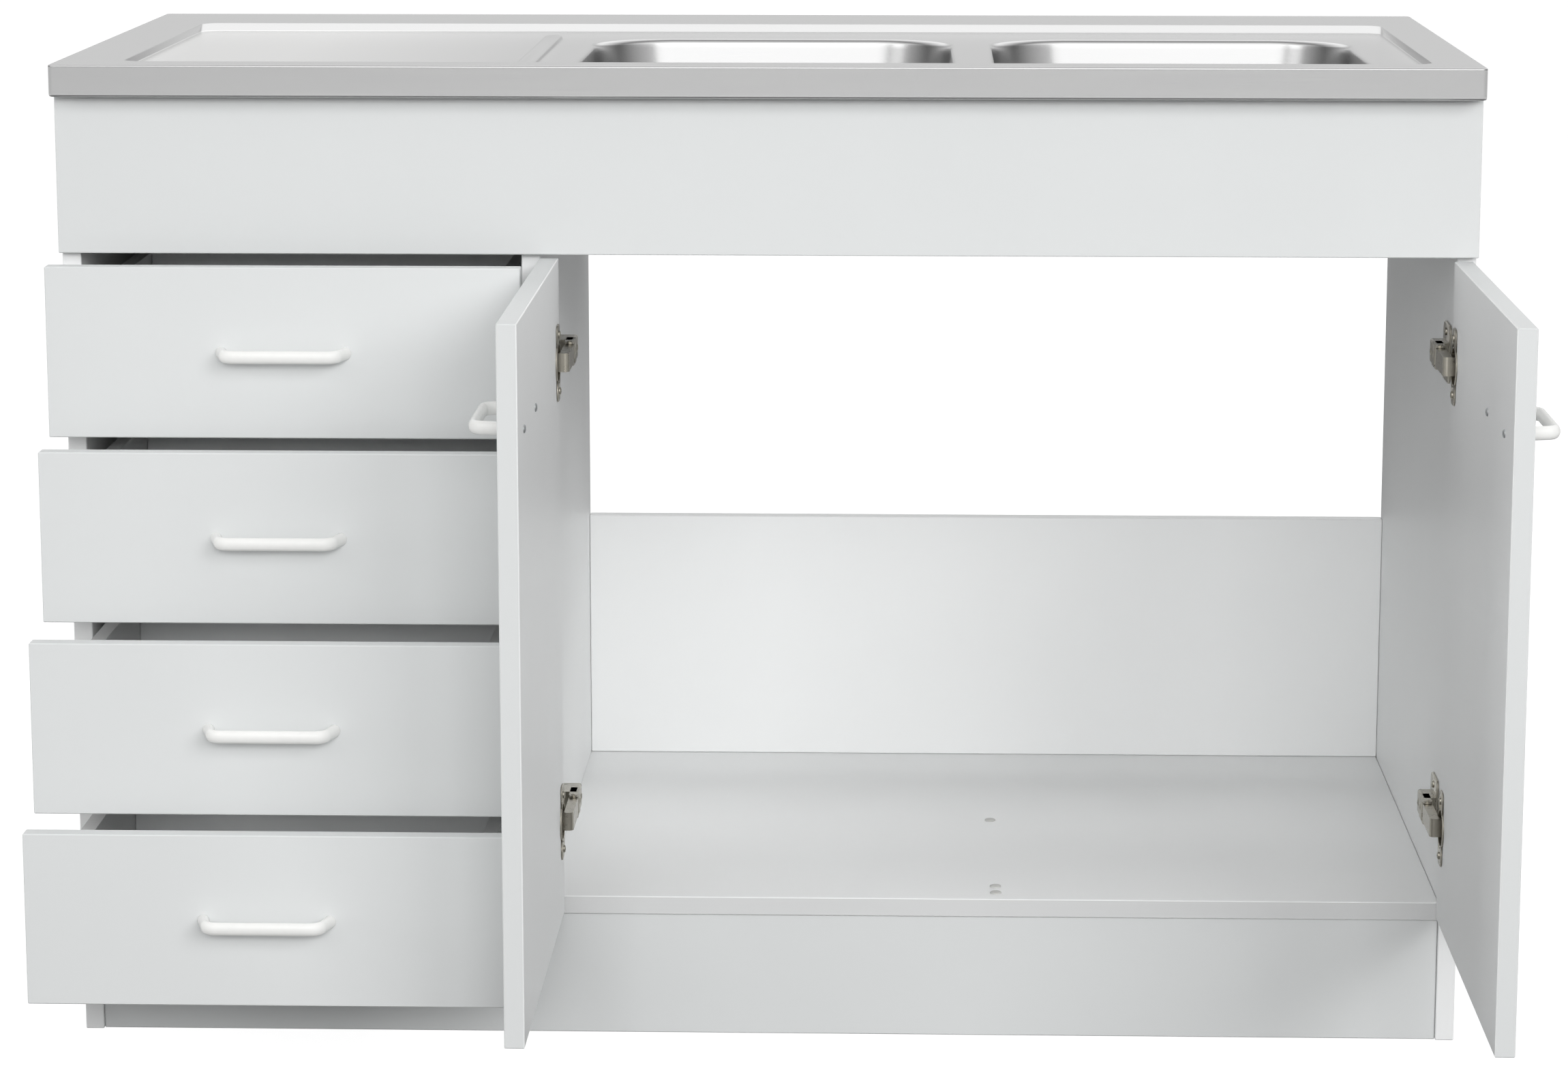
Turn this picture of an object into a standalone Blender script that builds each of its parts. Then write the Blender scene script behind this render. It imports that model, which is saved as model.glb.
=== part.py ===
"""A kitchen sink cabinet: a melamine carcass, a pressed steel sink, four drawers and two doors.

Metres, +X to the right, +Y to the back, +Z up. The origin is on the floor, at the middle of the
underside of the plinth board. Drawers and doors are built shut and set to their rest pose by the
empties that carry them: drawers slide out along -Y, doors and hinge links turn about upright axes.
"""

import math

import bmesh
import bpy
from mathutils import Matrix, Vector

# Clearances
TOUCH = 0.0003  # between pieces that touch
FRONT_GAP = 0.003  # between neighbouring fronts, side to side
DRAWER_FRONT_GAP = 0.0043  # between drawer fronts, one above another
FRONT_TO_FASCIA = 0.0025  # under the fascia
FRONT_STAND_OFF = 0.0025  # between a shut front and the carcass

# Carcass
CABINET_WIDTH = 1.200
CABINET_DEPTH = 0.550
CABINET_HEIGHT = 0.850  # floor to the top of the sink's rim
BOARD = 0.016
BACK_SHEET = 0.003
EDGE_EASE = 0.0007  # the eased edge of the edge banding
DRAWER_BAY_WIDTH = 0.400  # left side to the middle of the partition
PLINTH_HEIGHT = 0.1078
PLINTH_SETBACK = 0.003
FASCIA_HEIGHT = 0.134
REAR_BOARD_HEIGHT = 0.238
REAR_RAIL_HEIGHT = 0.100

# Sink
RIM_HEIGHT = 0.027
RIM_OVERHANG = 0.025  # in front of the fascia
RIM_RADIUS = 0.0025
SINK_DEPTH = 0.600
SHEET = 0.0010
RETURN_FLANGE = 0.014
RECESS_DROP = 0.006
RECESS_LEFT_MARGIN = 0.055
RECESS_RIGHT_MARGIN = 0.040
RECESS_FRONT_MARGIN = 0.039
RECESS_WALL_SLOPE = 0.005
RECESS_CORNER = 0.030
TAP_LEDGE = 0.117
TAP_SLOPE = 0.078
BOWL_DEPTH = 0.150
BOWL_TO_PARTITION = 0.027
BOWL_TO_RIGHT_SIDE = 0.068
BOWL_SPACING = 0.034
BOWL_FRONT_MARGIN = 0.009
BOWL_BACK_MARGIN = 0.033
BOWL_TAPER = 0.010
BOWL_CORNER = 0.055
BOWL_FLOOR_RADIUS = 0.022
DRAIN_RIDGE_WIDTH = 0.018
DRAIN_RIDGE_HEIGHT = 0.004
DRAIN_RIDGE_TO_BOWL = 0.031
WASTE_HOLE_RADIUS = 0.026
WASTE_FLANGE_RADIUS = 0.036
WASTE_FLANGE = 0.003
WASTE_THROAT_RADIUS = 0.021
WASTE_TAIL = 0.030

# Fronts and their bow handles
FRONT_THICKNESS = 0.016
DRAWER_FRONT_DROP = 0.0097  # of the lowest drawer front, below the base board
DOOR_LIFT = 0.0072  # of the doors' lower edges, above the base board's underside
HANDLE_LENGTH = 0.115
HANDLE_FOOT = 0.011
HANDLE_REACH = 0.028
HANDLE_GRIP = 0.008
HANDLE_LEAN = 0.006
HANDLE_HEIGHT = 0.011
HANDLE_EDGE = 0.002
HANDLE_FOOT_ROUND = 1.2  # radius of the feet's corners, in edge radii
DOOR_HANDLE_DROP = 0.089  # handle centre below the door's top
DOOR_HANDLE_FROM_EDGE = 0.105  # handle centre from the door's free edge

# Drawers
DRAWER_COUNT = 4
DRAWER_OUT = (0.070, 0.120, 0.183, 0.233)  # how far each stands out at rest, from the top down
DRAWER_LENGTH = 0.350
RUNNER_SPACE = 0.0125  # between a drawer side and the carcass
SIDE_HEIGHT = 0.086
SIDE_SHEET = 0.002
SIDE_RIM = 0.012
SIDE_FLANGE = 0.015
BOX_ABOVE_BASE = 0.0075
DRAWER_BOTTOM = 0.010
DRAWER_BACK = 0.016
RAIL_SHEET = 0.0015
RAIL_HEIGHT = 0.030
RAIL_LEDGE = 0.0095
RAIL_RISE = 0.006  # rail ledge above the foot of the drawer side
RAIL_SETBACK = 0.003
RUNNER_LIP = 0.009

# Doors and hinges
DOOR_OPEN = math.radians(90)
LEFT_DOOR_INSET = 0.017  # open door's inner face from the partition's face
RIGHT_DOOR_INSET = 0.0046  # open door's inner face from the right side's inner face
HINGE_FROM_END = 0.086
CUP_RADIUS = 0.0172
CUP_WALL = 0.0017
CUP_DEPTH = 0.0112
CUP_FLOOR = 0.0012
CUP_FROM_EDGE = 0.005
CUP_FLANGE_HEIGHT = 0.065
CUP_FLANGE_WIDTH = 0.022
CUP_FLANGE = 0.0012
LINK_HEIGHT = 0.016
LINK_WIDTH = 0.008
LINK_STAND_OFF = 0.002  # link bar from the open door's inner face
LINK_PIN_BACK = 0.014  # link pin behind the carcass front
LINK_TOE_WIDTH = 0.008
LINK_CORNER = 0.0008
LINK_EYE_ROUND = 0.95  # radius of the link's pin end, in half widths
PIN_RADIUS = 0.0015
ARM_CHEEK = 0.002
ARM_LENGTH = 0.036
ARM_TO_PIN = 0.008
PLATE_HEIGHT = 0.050
PLATE_LENGTH = 0.044
PLATE_SHEET = 0.002

ROUND_STEPS = 32
ARC_STEPS = 4
SPIN_MERGE = 0.00001
CUT_PAST = 0.010  # how far a cutter runs past the face it opens

# Places worked out from the sizes above
HALF_WIDTH = CABINET_WIDTH / 2
FRONT_Y = -(PLINTH_SETBACK + BOARD / 2)  # front edges of the carcass boards
BACK_Y = FRONT_Y + CABINET_DEPTH
LEFT_FACE = -HALF_WIDTH + BOARD
RIGHT_FACE = HALF_WIDTH - BOARD
PARTITION_X = -HALF_WIDTH + DRAWER_BAY_WIDTH
PARTITION_LEFT = PARTITION_X - BOARD / 2
PARTITION_RIGHT = PARTITION_X + BOARD / 2
BASE_BOTTOM = PLINTH_HEIGHT + TOUCH
BASE_TOP = BASE_BOTTOM + BOARD
CARCASS_TOP = CABINET_HEIGHT - RIM_HEIGHT - TOUCH
FASCIA_BOTTOM = CARCASS_TOP - FASCIA_HEIGHT
FASCIA_BACK = FRONT_Y - TOUCH
RIM_FRONT = FASCIA_BACK - BOARD - RIM_OVERHANG
FRONT_TOP = FASCIA_BOTTOM - FRONT_TO_FASCIA
FRONT_INNER = FRONT_Y - FRONT_STAND_OFF
FRONT_OUTER = FRONT_INNER - FRONT_THICKNESS
DOOR_BOTTOM = BASE_BOTTOM + DOOR_LIFT
DOOR_SPLIT = (PARTITION_X + HALF_WIDTH) / 2
STACK_BOTTOM = BASE_BOTTOM - DRAWER_FRONT_DROP
STACK_GAPS = (DRAWER_COUNT - 1) * DRAWER_FRONT_GAP
DRAWER_FRONT_HEIGHT = (FRONT_TOP - STACK_BOTTOM - STACK_GAPS) / DRAWER_COUNT
BOX_RISE = BASE_TOP + BOX_ABOVE_BASE - STACK_BOTTOM

for old in list(bpy.data.objects):
    bpy.data.objects.remove(old)

PARTS = bpy.data.collections.new("kitchen_sink_cabinet")
CUTTERS = bpy.data.collections.new("cutters")
for group in (PARTS, CUTTERS):
    bpy.context.scene.collection.children.link(group)


# Looks: colour, roughness, metallic
MELAMINE = (0.76, 0.78, 0.79), 0.45, 0.0
STEEL = (0.47, 0.47, 0.47), 0.3, 1.0
NICKEL = (0.22, 0.22, 0.23), 0.3, 1.0
COATED_STEEL = (0.62, 0.63, 0.64), 0.4, 0.0
HANDLE_PLASTIC = (0.85, 0.86, 0.86), 0.35, 0.0


def finish(name, look):
    color, roughness, metallic = look
    material = bpy.data.materials.new(name)
    material.use_nodes = True
    shader = material.node_tree.nodes["Principled BSDF"]
    shader.inputs["Base Color"].default_value = (*color, 1.0)
    shader.inputs["Roughness"].default_value = roughness
    shader.inputs["Metallic"].default_value = metallic
    material.diffuse_color = (*color, 1.0)
    return material


def place(obj, collection, material=None, parent=None):
    """Puts a piece built in the shut cabinet's coordinates into its collection and under its empty."""
    collection.objects.link(obj)
    if material:
        obj.data.materials.append(material)
    if parent:
        obj.parent = parent
        obj.location = obj.location - Vector(parent["built_at"])
    return obj


def carrier(name, built_at, moved=(0, 0, 0), turn=0.0):
    """An empty on a joint's axis, which takes its pieces from where they are built to the rest pose."""
    empty = bpy.data.objects.new(name, None)
    empty["built_at"] = built_at
    empty.location = Vector(built_at) + Vector(moved)
    empty.rotation_euler.z = turn
    PARTS.objects.link(empty)
    return empty


def ordered(*spans):
    """The (low, high) pairs of a box, whichever end of a span comes first."""
    return [(min(span), max(span)) for span in spans]


def box_mesh(name, x, y, z):
    x, y, z = ordered(x, y, z)
    middle = [(low + high) / 2 for low, high in (x, y, z)]
    size = [high - low for low, high in (x, y, z)]
    bm = bmesh.new()
    bmesh.ops.create_cube(bm, size=1, matrix=Matrix.Translation(middle) @ Matrix.Diagonal((*size, 1)))
    return to_mesh(name, bm)


def to_mesh(name, bm):
    mesh = bpy.data.meshes.new(name)
    bm.to_mesh(mesh)
    bm.free()
    return mesh


def board(name, x, y, z, material, parent=None):
    """A straight-edged board with eased edges."""
    obj = bpy.data.objects.new(name, box_mesh(name, x, y, z))
    ease = obj.modifiers.new("eased edges", "BEVEL")
    ease.width = EDGE_EASE
    ease.segments = 1
    return place(obj, PARTS, material, parent)


def block(name, x, y, z, parent=None):
    """A box that cuts or joins another piece."""
    return helper(bpy.data.objects.new(name, box_mesh(name, x, y, z)), parent)


def cylinder(name, radius, start, end, parent=None):
    """A round bar from one point to another that cuts or joins another piece."""
    start, end = Vector(start), Vector(end)
    turn = (end - start).to_track_quat("Z", "Y").to_matrix().to_4x4()
    bm = bmesh.new()
    bmesh.ops.create_cone(
        bm,
        cap_ends=True,
        segments=ROUND_STEPS,
        radius1=radius,
        radius2=radius,
        depth=(end - start).length,
        matrix=Matrix.Translation((start + end) / 2) @ turn,
    )
    return helper(bpy.data.objects.new(name, to_mesh(name, bm)), parent)


def round_edges(bm, edges, radius):
    bmesh.ops.bevel(bm, geom=edges, offset=radius, segments=ARC_STEPS, profile=0.5, affect="EDGES")


def rim_mesh(name, x, y, z, radius):
    """A box whose top and upright edges are rounded."""
    bm = bmesh.new()
    bm.from_mesh(box_mesh(name, x, y, z))
    round_edges(bm, [e for e in bm.edges if max(v.co.z for v in e.verts) > z[0] + TOUCH], radius)
    return to_mesh(name, bm)


def tub(name, x, y, z, taper, corner, floor_radius):
    """A block that narrows downwards, lofted between two rounded rectangles, with a rounded floor edge.

    x and y are its spans at the top of z, and taper is how far its left, right, front and back
    walls come in on the way down.
    """
    left, right, front, back = taper
    floor = rounded_rectangle((x[0] + left, x[1] - right), (y[0] + front, y[1] - back), corner)
    mouth = rounded_rectangle(x, y, corner)
    bm = bmesh.new()
    low = [bm.verts.new((*point, z[0])) for point in floor]
    high = [bm.verts.new((*point, z[1])) for point in mouth]
    bm.faces.new(low[::-1])
    bm.faces.new(high)
    for index in range(len(low)):
        bm.faces.new((low[index - 1], low[index], high[index], high[index - 1]))
    if floor_radius:
        round_edges(bm, [e for e in bm.edges if all(v in low for v in e.verts)], floor_radius)
    return helper(bpy.data.objects.new(name, to_mesh(name, bm)))


def helper(obj, parent=None):
    obj.hide_render = True
    obj.display_type = "WIRE"
    return place(obj, CUTTERS, parent=parent)


def combine(obj, operation, *others):
    for other in others:
        step = obj.modifiers.new(f"{operation.lower()} {other.name}", "BOOLEAN")
        step.operation = operation
        step.object = other


def rounded(corners):
    """The points of a closed outline whose (x, y, radius) corners are turned on arcs."""
    points = []
    for index, (x, y, radius) in enumerate(corners):
        here = Vector((x, y))
        to_last = (Vector(corners[index - 1][:2]) - here).normalized()
        to_next = (Vector(corners[(index + 1) % len(corners)][:2]) - here).normalized()
        half = to_last.angle(to_next) / 2
        centre = here + (to_last + to_next).normalized() * (radius / math.sin(half))
        start = here + to_last * (radius / math.tan(half)) - centre
        end = here + to_next * (radius / math.tan(half)) - centre
        first = math.atan2(start.y, start.x)
        sweep = (math.atan2(end.y, end.x) - first + math.pi) % (2 * math.pi) - math.pi
        for step in range(ARC_STEPS + 1):
            angle = first + sweep * step / ARC_STEPS
            points.append(centre + radius * Vector((math.cos(angle), math.sin(angle))))
    return points


def rounded_rectangle(x, y, radius):
    return rounded([(x[0], y[0], radius), (x[1], y[0], radius), (x[1], y[1], radius), (x[0], y[1], radius)])


def anticlockwise(outline):
    area = sum(here.cross(outline[index - 1]) for index, here in enumerate(outline))
    return outline if area < 0 else outline[::-1]


def circle(x, y, radius):
    turns = [2 * math.pi * step / ROUND_STEPS for step in range(ROUND_STEPS)]
    return [Vector((x + radius * math.cos(turn), y + radius * math.sin(turn))) for turn in turns]


def outline_piece(name, outlines, thickness, material, parent=None, edge=0.0):
    """A flat piece cut to closed outlines in its own XY plane, centred on that plane."""
    curve = bpy.data.curves.new(name, "CURVE")
    curve.dimensions = "2D"
    curve.fill_mode = "BOTH"
    curve.extrude = thickness / 2 - edge
    curve.bevel_depth = edge
    curve.bevel_resolution = 1
    curve.offset = -edge
    for outline in outlines:
        spline = curve.splines.new("POLY")
        spline.points.add(len(outline) - 1)
        for point, corner in zip(spline.points, anticlockwise(outline)):
            point.co = (corner.x, corner.y, 0, 1)
        spline.use_cyclic_u = True
    obj = bpy.data.objects.new(name, curve)
    obj.data.materials.append(material)
    PARTS.objects.link(obj)
    if parent:
        obj.parent = parent
    return obj


def turned(name, profile, centre, material):
    """A closed profile of (radius, height) points spun round an upright axis."""
    bm = bmesh.new()
    verts = [bm.verts.new((radius, 0, height)) for radius, height in profile]
    for index, vert in enumerate(verts):
        bm.edges.new((vert, verts[(index + 1) % len(verts)]))
    obj = bpy.data.objects.new(name, to_mesh(name, bm))
    spin = obj.modifiers.new("spin", "SCREW")
    spin.steps = spin.render_steps = ROUND_STEPS
    spin.use_merge_vertices = True
    spin.merge_threshold = SPIN_MERGE
    obj.location = centre
    return place(obj, PARTS, material)


def build_carcass():
    inside = (LEFT_FACE + TOUCH, RIGHT_FACE - TOUCH)
    door_bay = (PARTITION_RIGHT + TOUCH, RIGHT_FACE - TOUCH)
    depth = (FRONT_Y, BACK_Y)
    plinth = (FRONT_Y + PLINTH_SETBACK, FRONT_Y + PLINTH_SETBACK + BOARD)
    low_rear = (BASE_TOP + TOUCH, BASE_TOP + TOUCH + REAR_BOARD_HEIGHT)
    rear = (BACK_Y - BOARD, BACK_Y)
    sheet = (BACK_Y + TOUCH, BACK_Y + TOUCH + BACK_SHEET)
    full = (0, CARCASS_TOP)
    fascia = (FASCIA_BACK - BOARD, FASCIA_BACK)
    boards = {
        "left_side_panel": ((-HALF_WIDTH, LEFT_FACE), depth, full),
        "right_side_panel": ((RIGHT_FACE, HALF_WIDTH), depth, full),
        "middle_partition": ((PARTITION_LEFT, PARTITION_RIGHT), depth, (BASE_TOP + TOUCH, CARCASS_TOP)),
        "base_board": (inside, depth, (BASE_BOTTOM, BASE_TOP)),
        "plinth_board": (inside, plinth, (0, PLINTH_HEIGHT)),
        "front_fascia": ((-HALF_WIDTH, HALF_WIDTH), fascia, (FASCIA_BOTTOM, CARCASS_TOP)),
        "rear_lower_board": (door_bay, rear, low_rear),
        "rear_top_rail": (door_bay, rear, (CARCASS_TOP - REAR_RAIL_HEIGHT, CARCASS_TOP)),
        "drawer_bay_back": ((-HALF_WIDTH, PARTITION_X), sheet, (BASE_BOTTOM, CARCASS_TOP)),
    }
    for name, spans in boards.items():
        board(name, *spans, finish(name, MELAMINE))


def build_sink():
    """One pressed sheet: a rim folded down and under, a sunk drainer and two bowls."""
    top = CABINET_HEIGHT
    under = top - RIM_HEIGHT
    x = (-HALF_WIDTH, HALF_WIDTH)
    y = (RIM_FRONT, RIM_FRONT + SINK_DEPTH)

    def inset(span, by):
        return span[0] + by, span[1] - by

    mesh = rim_mesh("sink_top", x, y, (under, top), RIM_RADIUS)
    sink = place(bpy.data.objects.new("sink_top", mesh), PARTS, finish("sink_top", STEEL))
    hollow_z = (under + SHEET, top - SHEET)
    hollow = rim_mesh("rim_hollow", inset(x, SHEET), inset(y, SHEET), hollow_z, RIM_RADIUS - SHEET)
    hollow = helper(bpy.data.objects.new("rim_hollow", hollow))
    flange_cut = (inset(x, RETURN_FLANGE), inset(y, RETURN_FLANGE), (under - CUT_PAST, under + 2 * SHEET))
    combine(sink, "DIFFERENCE", hollow, block("return_flange_opening", *flange_cut))

    floor = top - RECESS_DROP
    recess_x = (x[0] + RECESS_LEFT_MARGIN, x[1] - RECESS_RIGHT_MARGIN)
    recess_y = (y[0] + RECESS_FRONT_MARGIN, y[1] - TAP_LEDGE)
    slope = (RECESS_WALL_SLOPE, RECESS_WALL_SLOPE, RECESS_WALL_SLOPE, TAP_SLOPE)

    def recess(name, grow, z_low, z_high):
        """The sunk area between two heights, its walls running on at the same slope."""
        rise = [part / RECESS_DROP for part in slope]
        out = [step * (z_high - top + grow) for step in rise]
        spans = (recess_x[0] - out[0], recess_x[1] + out[1]), (recess_y[0] - out[2], recess_y[1] + out[3])
        taper = [step * (z_high - z_low) for step in rise]
        return tub(name, *spans, (z_low, z_high), taper, RECESS_CORNER + grow, 0)

    bowl_width = (RIGHT_FACE - BOWL_TO_RIGHT_SIDE - PARTITION_RIGHT - BOWL_TO_PARTITION - BOWL_SPACING) / 2
    bowl_y = (
        recess_y[0] + RECESS_WALL_SLOPE + BOWL_FRONT_MARGIN,
        recess_y[1] - TAP_SLOPE - BOWL_BACK_MARGIN,
    )
    bowl_left = PARTITION_RIGHT + BOWL_TO_PARTITION

    def bowl(name, left, grow, z_low, z_high):
        spans = (left - grow, left + bowl_width + grow), (bowl_y[0] - grow, bowl_y[1] + grow)
        taper = [BOWL_TAPER] * 4
        return tub(name, *spans, (z_low, z_high), taper, BOWL_CORNER + grow, BOWL_FLOOR_RADIUS + grow)

    bowl_floor = floor - BOWL_DEPTH
    lefts = {"left": bowl_left, "right": bowl_left + bowl_width + BOWL_SPACING}
    skins = [recess("recess_skin", SHEET, floor - SHEET, top - SHEET / 2)]
    cuts = [recess("recess_cut", 0, floor, top + SHEET)]
    for side, left in lefts.items():
        centre = left + bowl_width / 2, (bowl_y[0] + bowl_y[1]) / 2
        skins.append(bowl(f"{side}_bowl_skin", left, SHEET, bowl_floor - SHEET, floor - SHEET / 2))
        cuts.append(bowl(f"{side}_bowl_cut", left, 0, bowl_floor, floor + SHEET))
        hole = (*centre, bowl_floor - CUT_PAST), (*centre, bowl_floor + CUT_PAST)
        cuts.append(cylinder(f"{side}_waste_hole", WASTE_HOLE_RADIUS, *hole))
        build_waste(f"{side}_waste", (*centre, bowl_floor))
    combine(sink, "UNION", *skins)
    combine(sink, "DIFFERENCE", *cuts)

    ridge_right = bowl_left - DRAIN_RIDGE_TO_BOWL
    ridge = tub(
        "drainer_ridge",
        (ridge_right - DRAIN_RIDGE_WIDTH, ridge_right),
        (bowl_y[0], bowl_y[1]),
        (floor - SHEET / 2, floor + DRAIN_RIDGE_HEIGHT),
        [-DRAIN_RIDGE_HEIGHT] * 4,
        DRAIN_RIDGE_WIDTH / 4,
        0,
    )
    combine(sink, "UNION", ridge)


def build_waste(name, seat):
    """A turned waste fitting: a flange on the bowl's floor, a throat and a short tail."""
    throat = WASTE_THROAT_RADIUS
    outside = WASTE_HOLE_RADIUS - TOUCH
    profile = [
        (throat, TOUCH + WASTE_FLANGE / 2),
        (throat + WASTE_FLANGE, TOUCH + WASTE_FLANGE),
        (WASTE_FLANGE_RADIUS - WASTE_FLANGE / 2, TOUCH + WASTE_FLANGE),
        (WASTE_FLANGE_RADIUS, TOUCH),
        (outside, TOUCH),
        (outside, -WASTE_TAIL),
        (throat, -WASTE_TAIL),
    ]
    turned(name, profile, seat, finish(name, STEEL))


def build_handle(name, centre_x, centre_z, parent):
    """A bow handle: two leaning feet and a grip, with soft edges."""
    end = HANDLE_LENGTH / 2
    lean_in = HANDLE_LEAN * (HANDLE_REACH - HANDLE_GRIP) / HANDLE_REACH
    foot_round = HANDLE_EDGE * HANDLE_FOOT_ROUND
    right = [
        (end - HANDLE_FOOT - lean_in, HANDLE_GRIP - HANDLE_REACH, HANDLE_GRIP / 2),
        (end - HANDLE_FOOT, 0, foot_round),
        (end, 0, foot_round),
        (end - HANDLE_LEAN, -HANDLE_REACH, HANDLE_GRIP),
    ]
    left = [(-x, y, radius) for x, y, radius in reversed(right)]
    look = finish(name, HANDLE_PLASTIC)
    handle = outline_piece(name, [rounded(right + left)], HANDLE_HEIGHT, look, parent, HANDLE_EDGE)
    handle.location = Vector((centre_x, FRONT_OUTER - TOUCH, centre_z)) - Vector(parent["built_at"])
    for spline in handle.data.splines:
        spline.use_smooth = True


def side_profile(direction):
    """A steel drawer side seen from the front: rim, wall, runner lip and the flange under the bottom."""
    outer, inner = RUNNER_SPACE, RUNNER_SPACE + SIDE_SHEET
    lip = RAIL_RISE + RAIL_SHEET + TOUCH
    across_up = [
        (outer, 0),
        (inner + SIDE_FLANGE, 0),
        (inner + SIDE_FLANGE, SIDE_SHEET),
        (inner, SIDE_SHEET),
        (inner, SIDE_HEIGHT - SIDE_SHEET),
        (outer + SIDE_RIM, SIDE_HEIGHT - SIDE_SHEET),
        (outer + SIDE_RIM, SIDE_HEIGHT),
        (outer, SIDE_HEIGHT),
        (outer, lip + SIDE_SHEET),
        (outer - RUNNER_LIP, lip + SIDE_SHEET),
        (outer - RUNNER_LIP, lip),
        (outer, lip),
    ]
    return [Vector((direction * across, up)) for across, up in across_up]


def rail_profile(direction):
    """A runner rail seen from the front: a leaf on the carcass and a ledge under the drawer's lip."""
    across_up = [
        (TOUCH, RAIL_RISE),
        (RAIL_LEDGE, RAIL_RISE),
        (RAIL_LEDGE, RAIL_RISE + RAIL_SHEET),
        (TOUCH + RAIL_SHEET, RAIL_RISE + RAIL_SHEET),
        (TOUCH + RAIL_SHEET, RAIL_RISE + RAIL_HEIGHT),
        (TOUCH, RAIL_RISE + RAIL_HEIGHT),
    ]
    return [Vector((direction * across, up)) for across, up in across_up]


def build_drawer(number, out):
    tag = f"drawer_{number}"
    front_low = STACK_BOTTOM + (DRAWER_COUNT - number) * (DRAWER_FRONT_HEIGHT + DRAWER_FRONT_GAP)
    foot = front_low + BOX_RISE
    start = FRONT_INNER + TOUCH
    length = (start, start + DRAWER_LENGTH)
    empty = carrier(f"{tag}_slide", (PARTITION_X - DRAWER_BAY_WIDTH / 2, FRONT_INNER, foot), (0, -out, 0))
    built_at = Vector(empty["built_at"])

    x = (-HALF_WIDTH + FRONT_GAP / 2, PARTITION_X - FRONT_GAP / 2)
    z = (front_low, front_low + DRAWER_FRONT_HEIGHT)
    board(f"{tag}_front", x, (FRONT_OUTER, FRONT_INNER), z, finish(f"{tag}_front", MELAMINE), empty)
    build_handle(f"{tag}_handle", sum(x) / 2, sum(z) / 2, empty)

    for side, face, direction in (("left", LEFT_FACE, 1), ("right", PARTITION_LEFT, -1)):
        name = f"{tag}_{side}_side"
        look = finish(name, COATED_STEEL)
        wall = outline_piece(name, [side_profile(direction)], DRAWER_LENGTH, look, empty)
        wall.rotation_euler.x = math.pi / 2
        wall.location = Vector((face, sum(length) / 2, foot)) - built_at
        name = f"{tag}_{side}_rail"
        look = finish(name, COATED_STEEL)
        rail = outline_piece(name, [rail_profile(direction)], DRAWER_LENGTH, look)
        rail.rotation_euler.x = math.pi / 2
        rail.location = (face, FRONT_Y + RAIL_SETBACK + DRAWER_LENGTH / 2, foot)

    in_wall = RUNNER_SPACE + SIDE_SHEET + TOUCH
    x = (LEFT_FACE + in_wall, PARTITION_LEFT - in_wall)
    bottom = (foot + SIDE_SHEET + TOUCH, foot + SIDE_SHEET + TOUCH + DRAWER_BOTTOM)
    back = (bottom[1] + TOUCH, foot + SIDE_HEIGHT - SIDE_SHEET - TOUCH)
    board(f"{tag}_bottom", x, length, bottom, finish(f"{tag}_bottom", MELAMINE), empty)
    rear = (length[1] - DRAWER_BACK, length[1])
    board(f"{tag}_back", x, rear, back, finish(f"{tag}_back", MELAMINE), empty)


def door_pole(side, hinge_edge, open_face):
    """The point that a door turns about, from where its hinge edge is shut and its inner face is open."""
    edge_out = FRONT_OUTER - FRONT_Y
    stand_off = FRONT_INNER - FRONT_Y
    across = side * (open_face - hinge_edge)
    pole_x = (hinge_edge + open_face + side * (edge_out - stand_off)) / 2
    pole_y = FRONT_Y + (edge_out + stand_off - across) / 2
    return pole_x, pole_y


def build_door(tag, side, hinge_edge, carcass_face, inset):
    """A door panel with its handle, and its two hinges. side is 1 when it is hung on the left, else -1."""
    open_face = carcass_face + side * inset
    pole = (*door_pole(side, hinge_edge, open_face), 0)
    empty = carrier(f"{tag}_swing", pole, turn=-side * DOOR_OPEN)
    free_edge = DOOR_SPLIT - side * FRONT_GAP / 2
    panel = board(
        f"{tag}_panel",
        (hinge_edge, free_edge),
        (FRONT_OUTER, FRONT_INNER),
        (DOOR_BOTTOM, FRONT_TOP),
        finish(f"{tag}_panel", MELAMINE),
        empty,
    )
    handle_x = free_edge - side * DOOR_HANDLE_FROM_EDGE
    build_handle(f"{tag}_handle", handle_x, FRONT_TOP - DOOR_HANDLE_DROP, empty)

    pin_x = open_face + side * (LINK_STAND_OFF + LINK_WIDTH / 2)
    pin = (pin_x, FRONT_Y + LINK_PIN_BACK, 0)
    links = carrier(f"{tag}_links", pin)
    heights = {"upper": FRONT_TOP - HINGE_FROM_END, "lower": DOOR_BOTTOM + HINGE_FROM_END}
    for level, height in heights.items():
        hinge = f"{tag}_{level}_hinge"
        build_cup(hinge, side, hinge_edge, height, panel, empty)
        build_link(hinge, side, open_face, pin, height, links)
        build_arm(hinge, side, carcass_face, pin, height)


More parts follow.
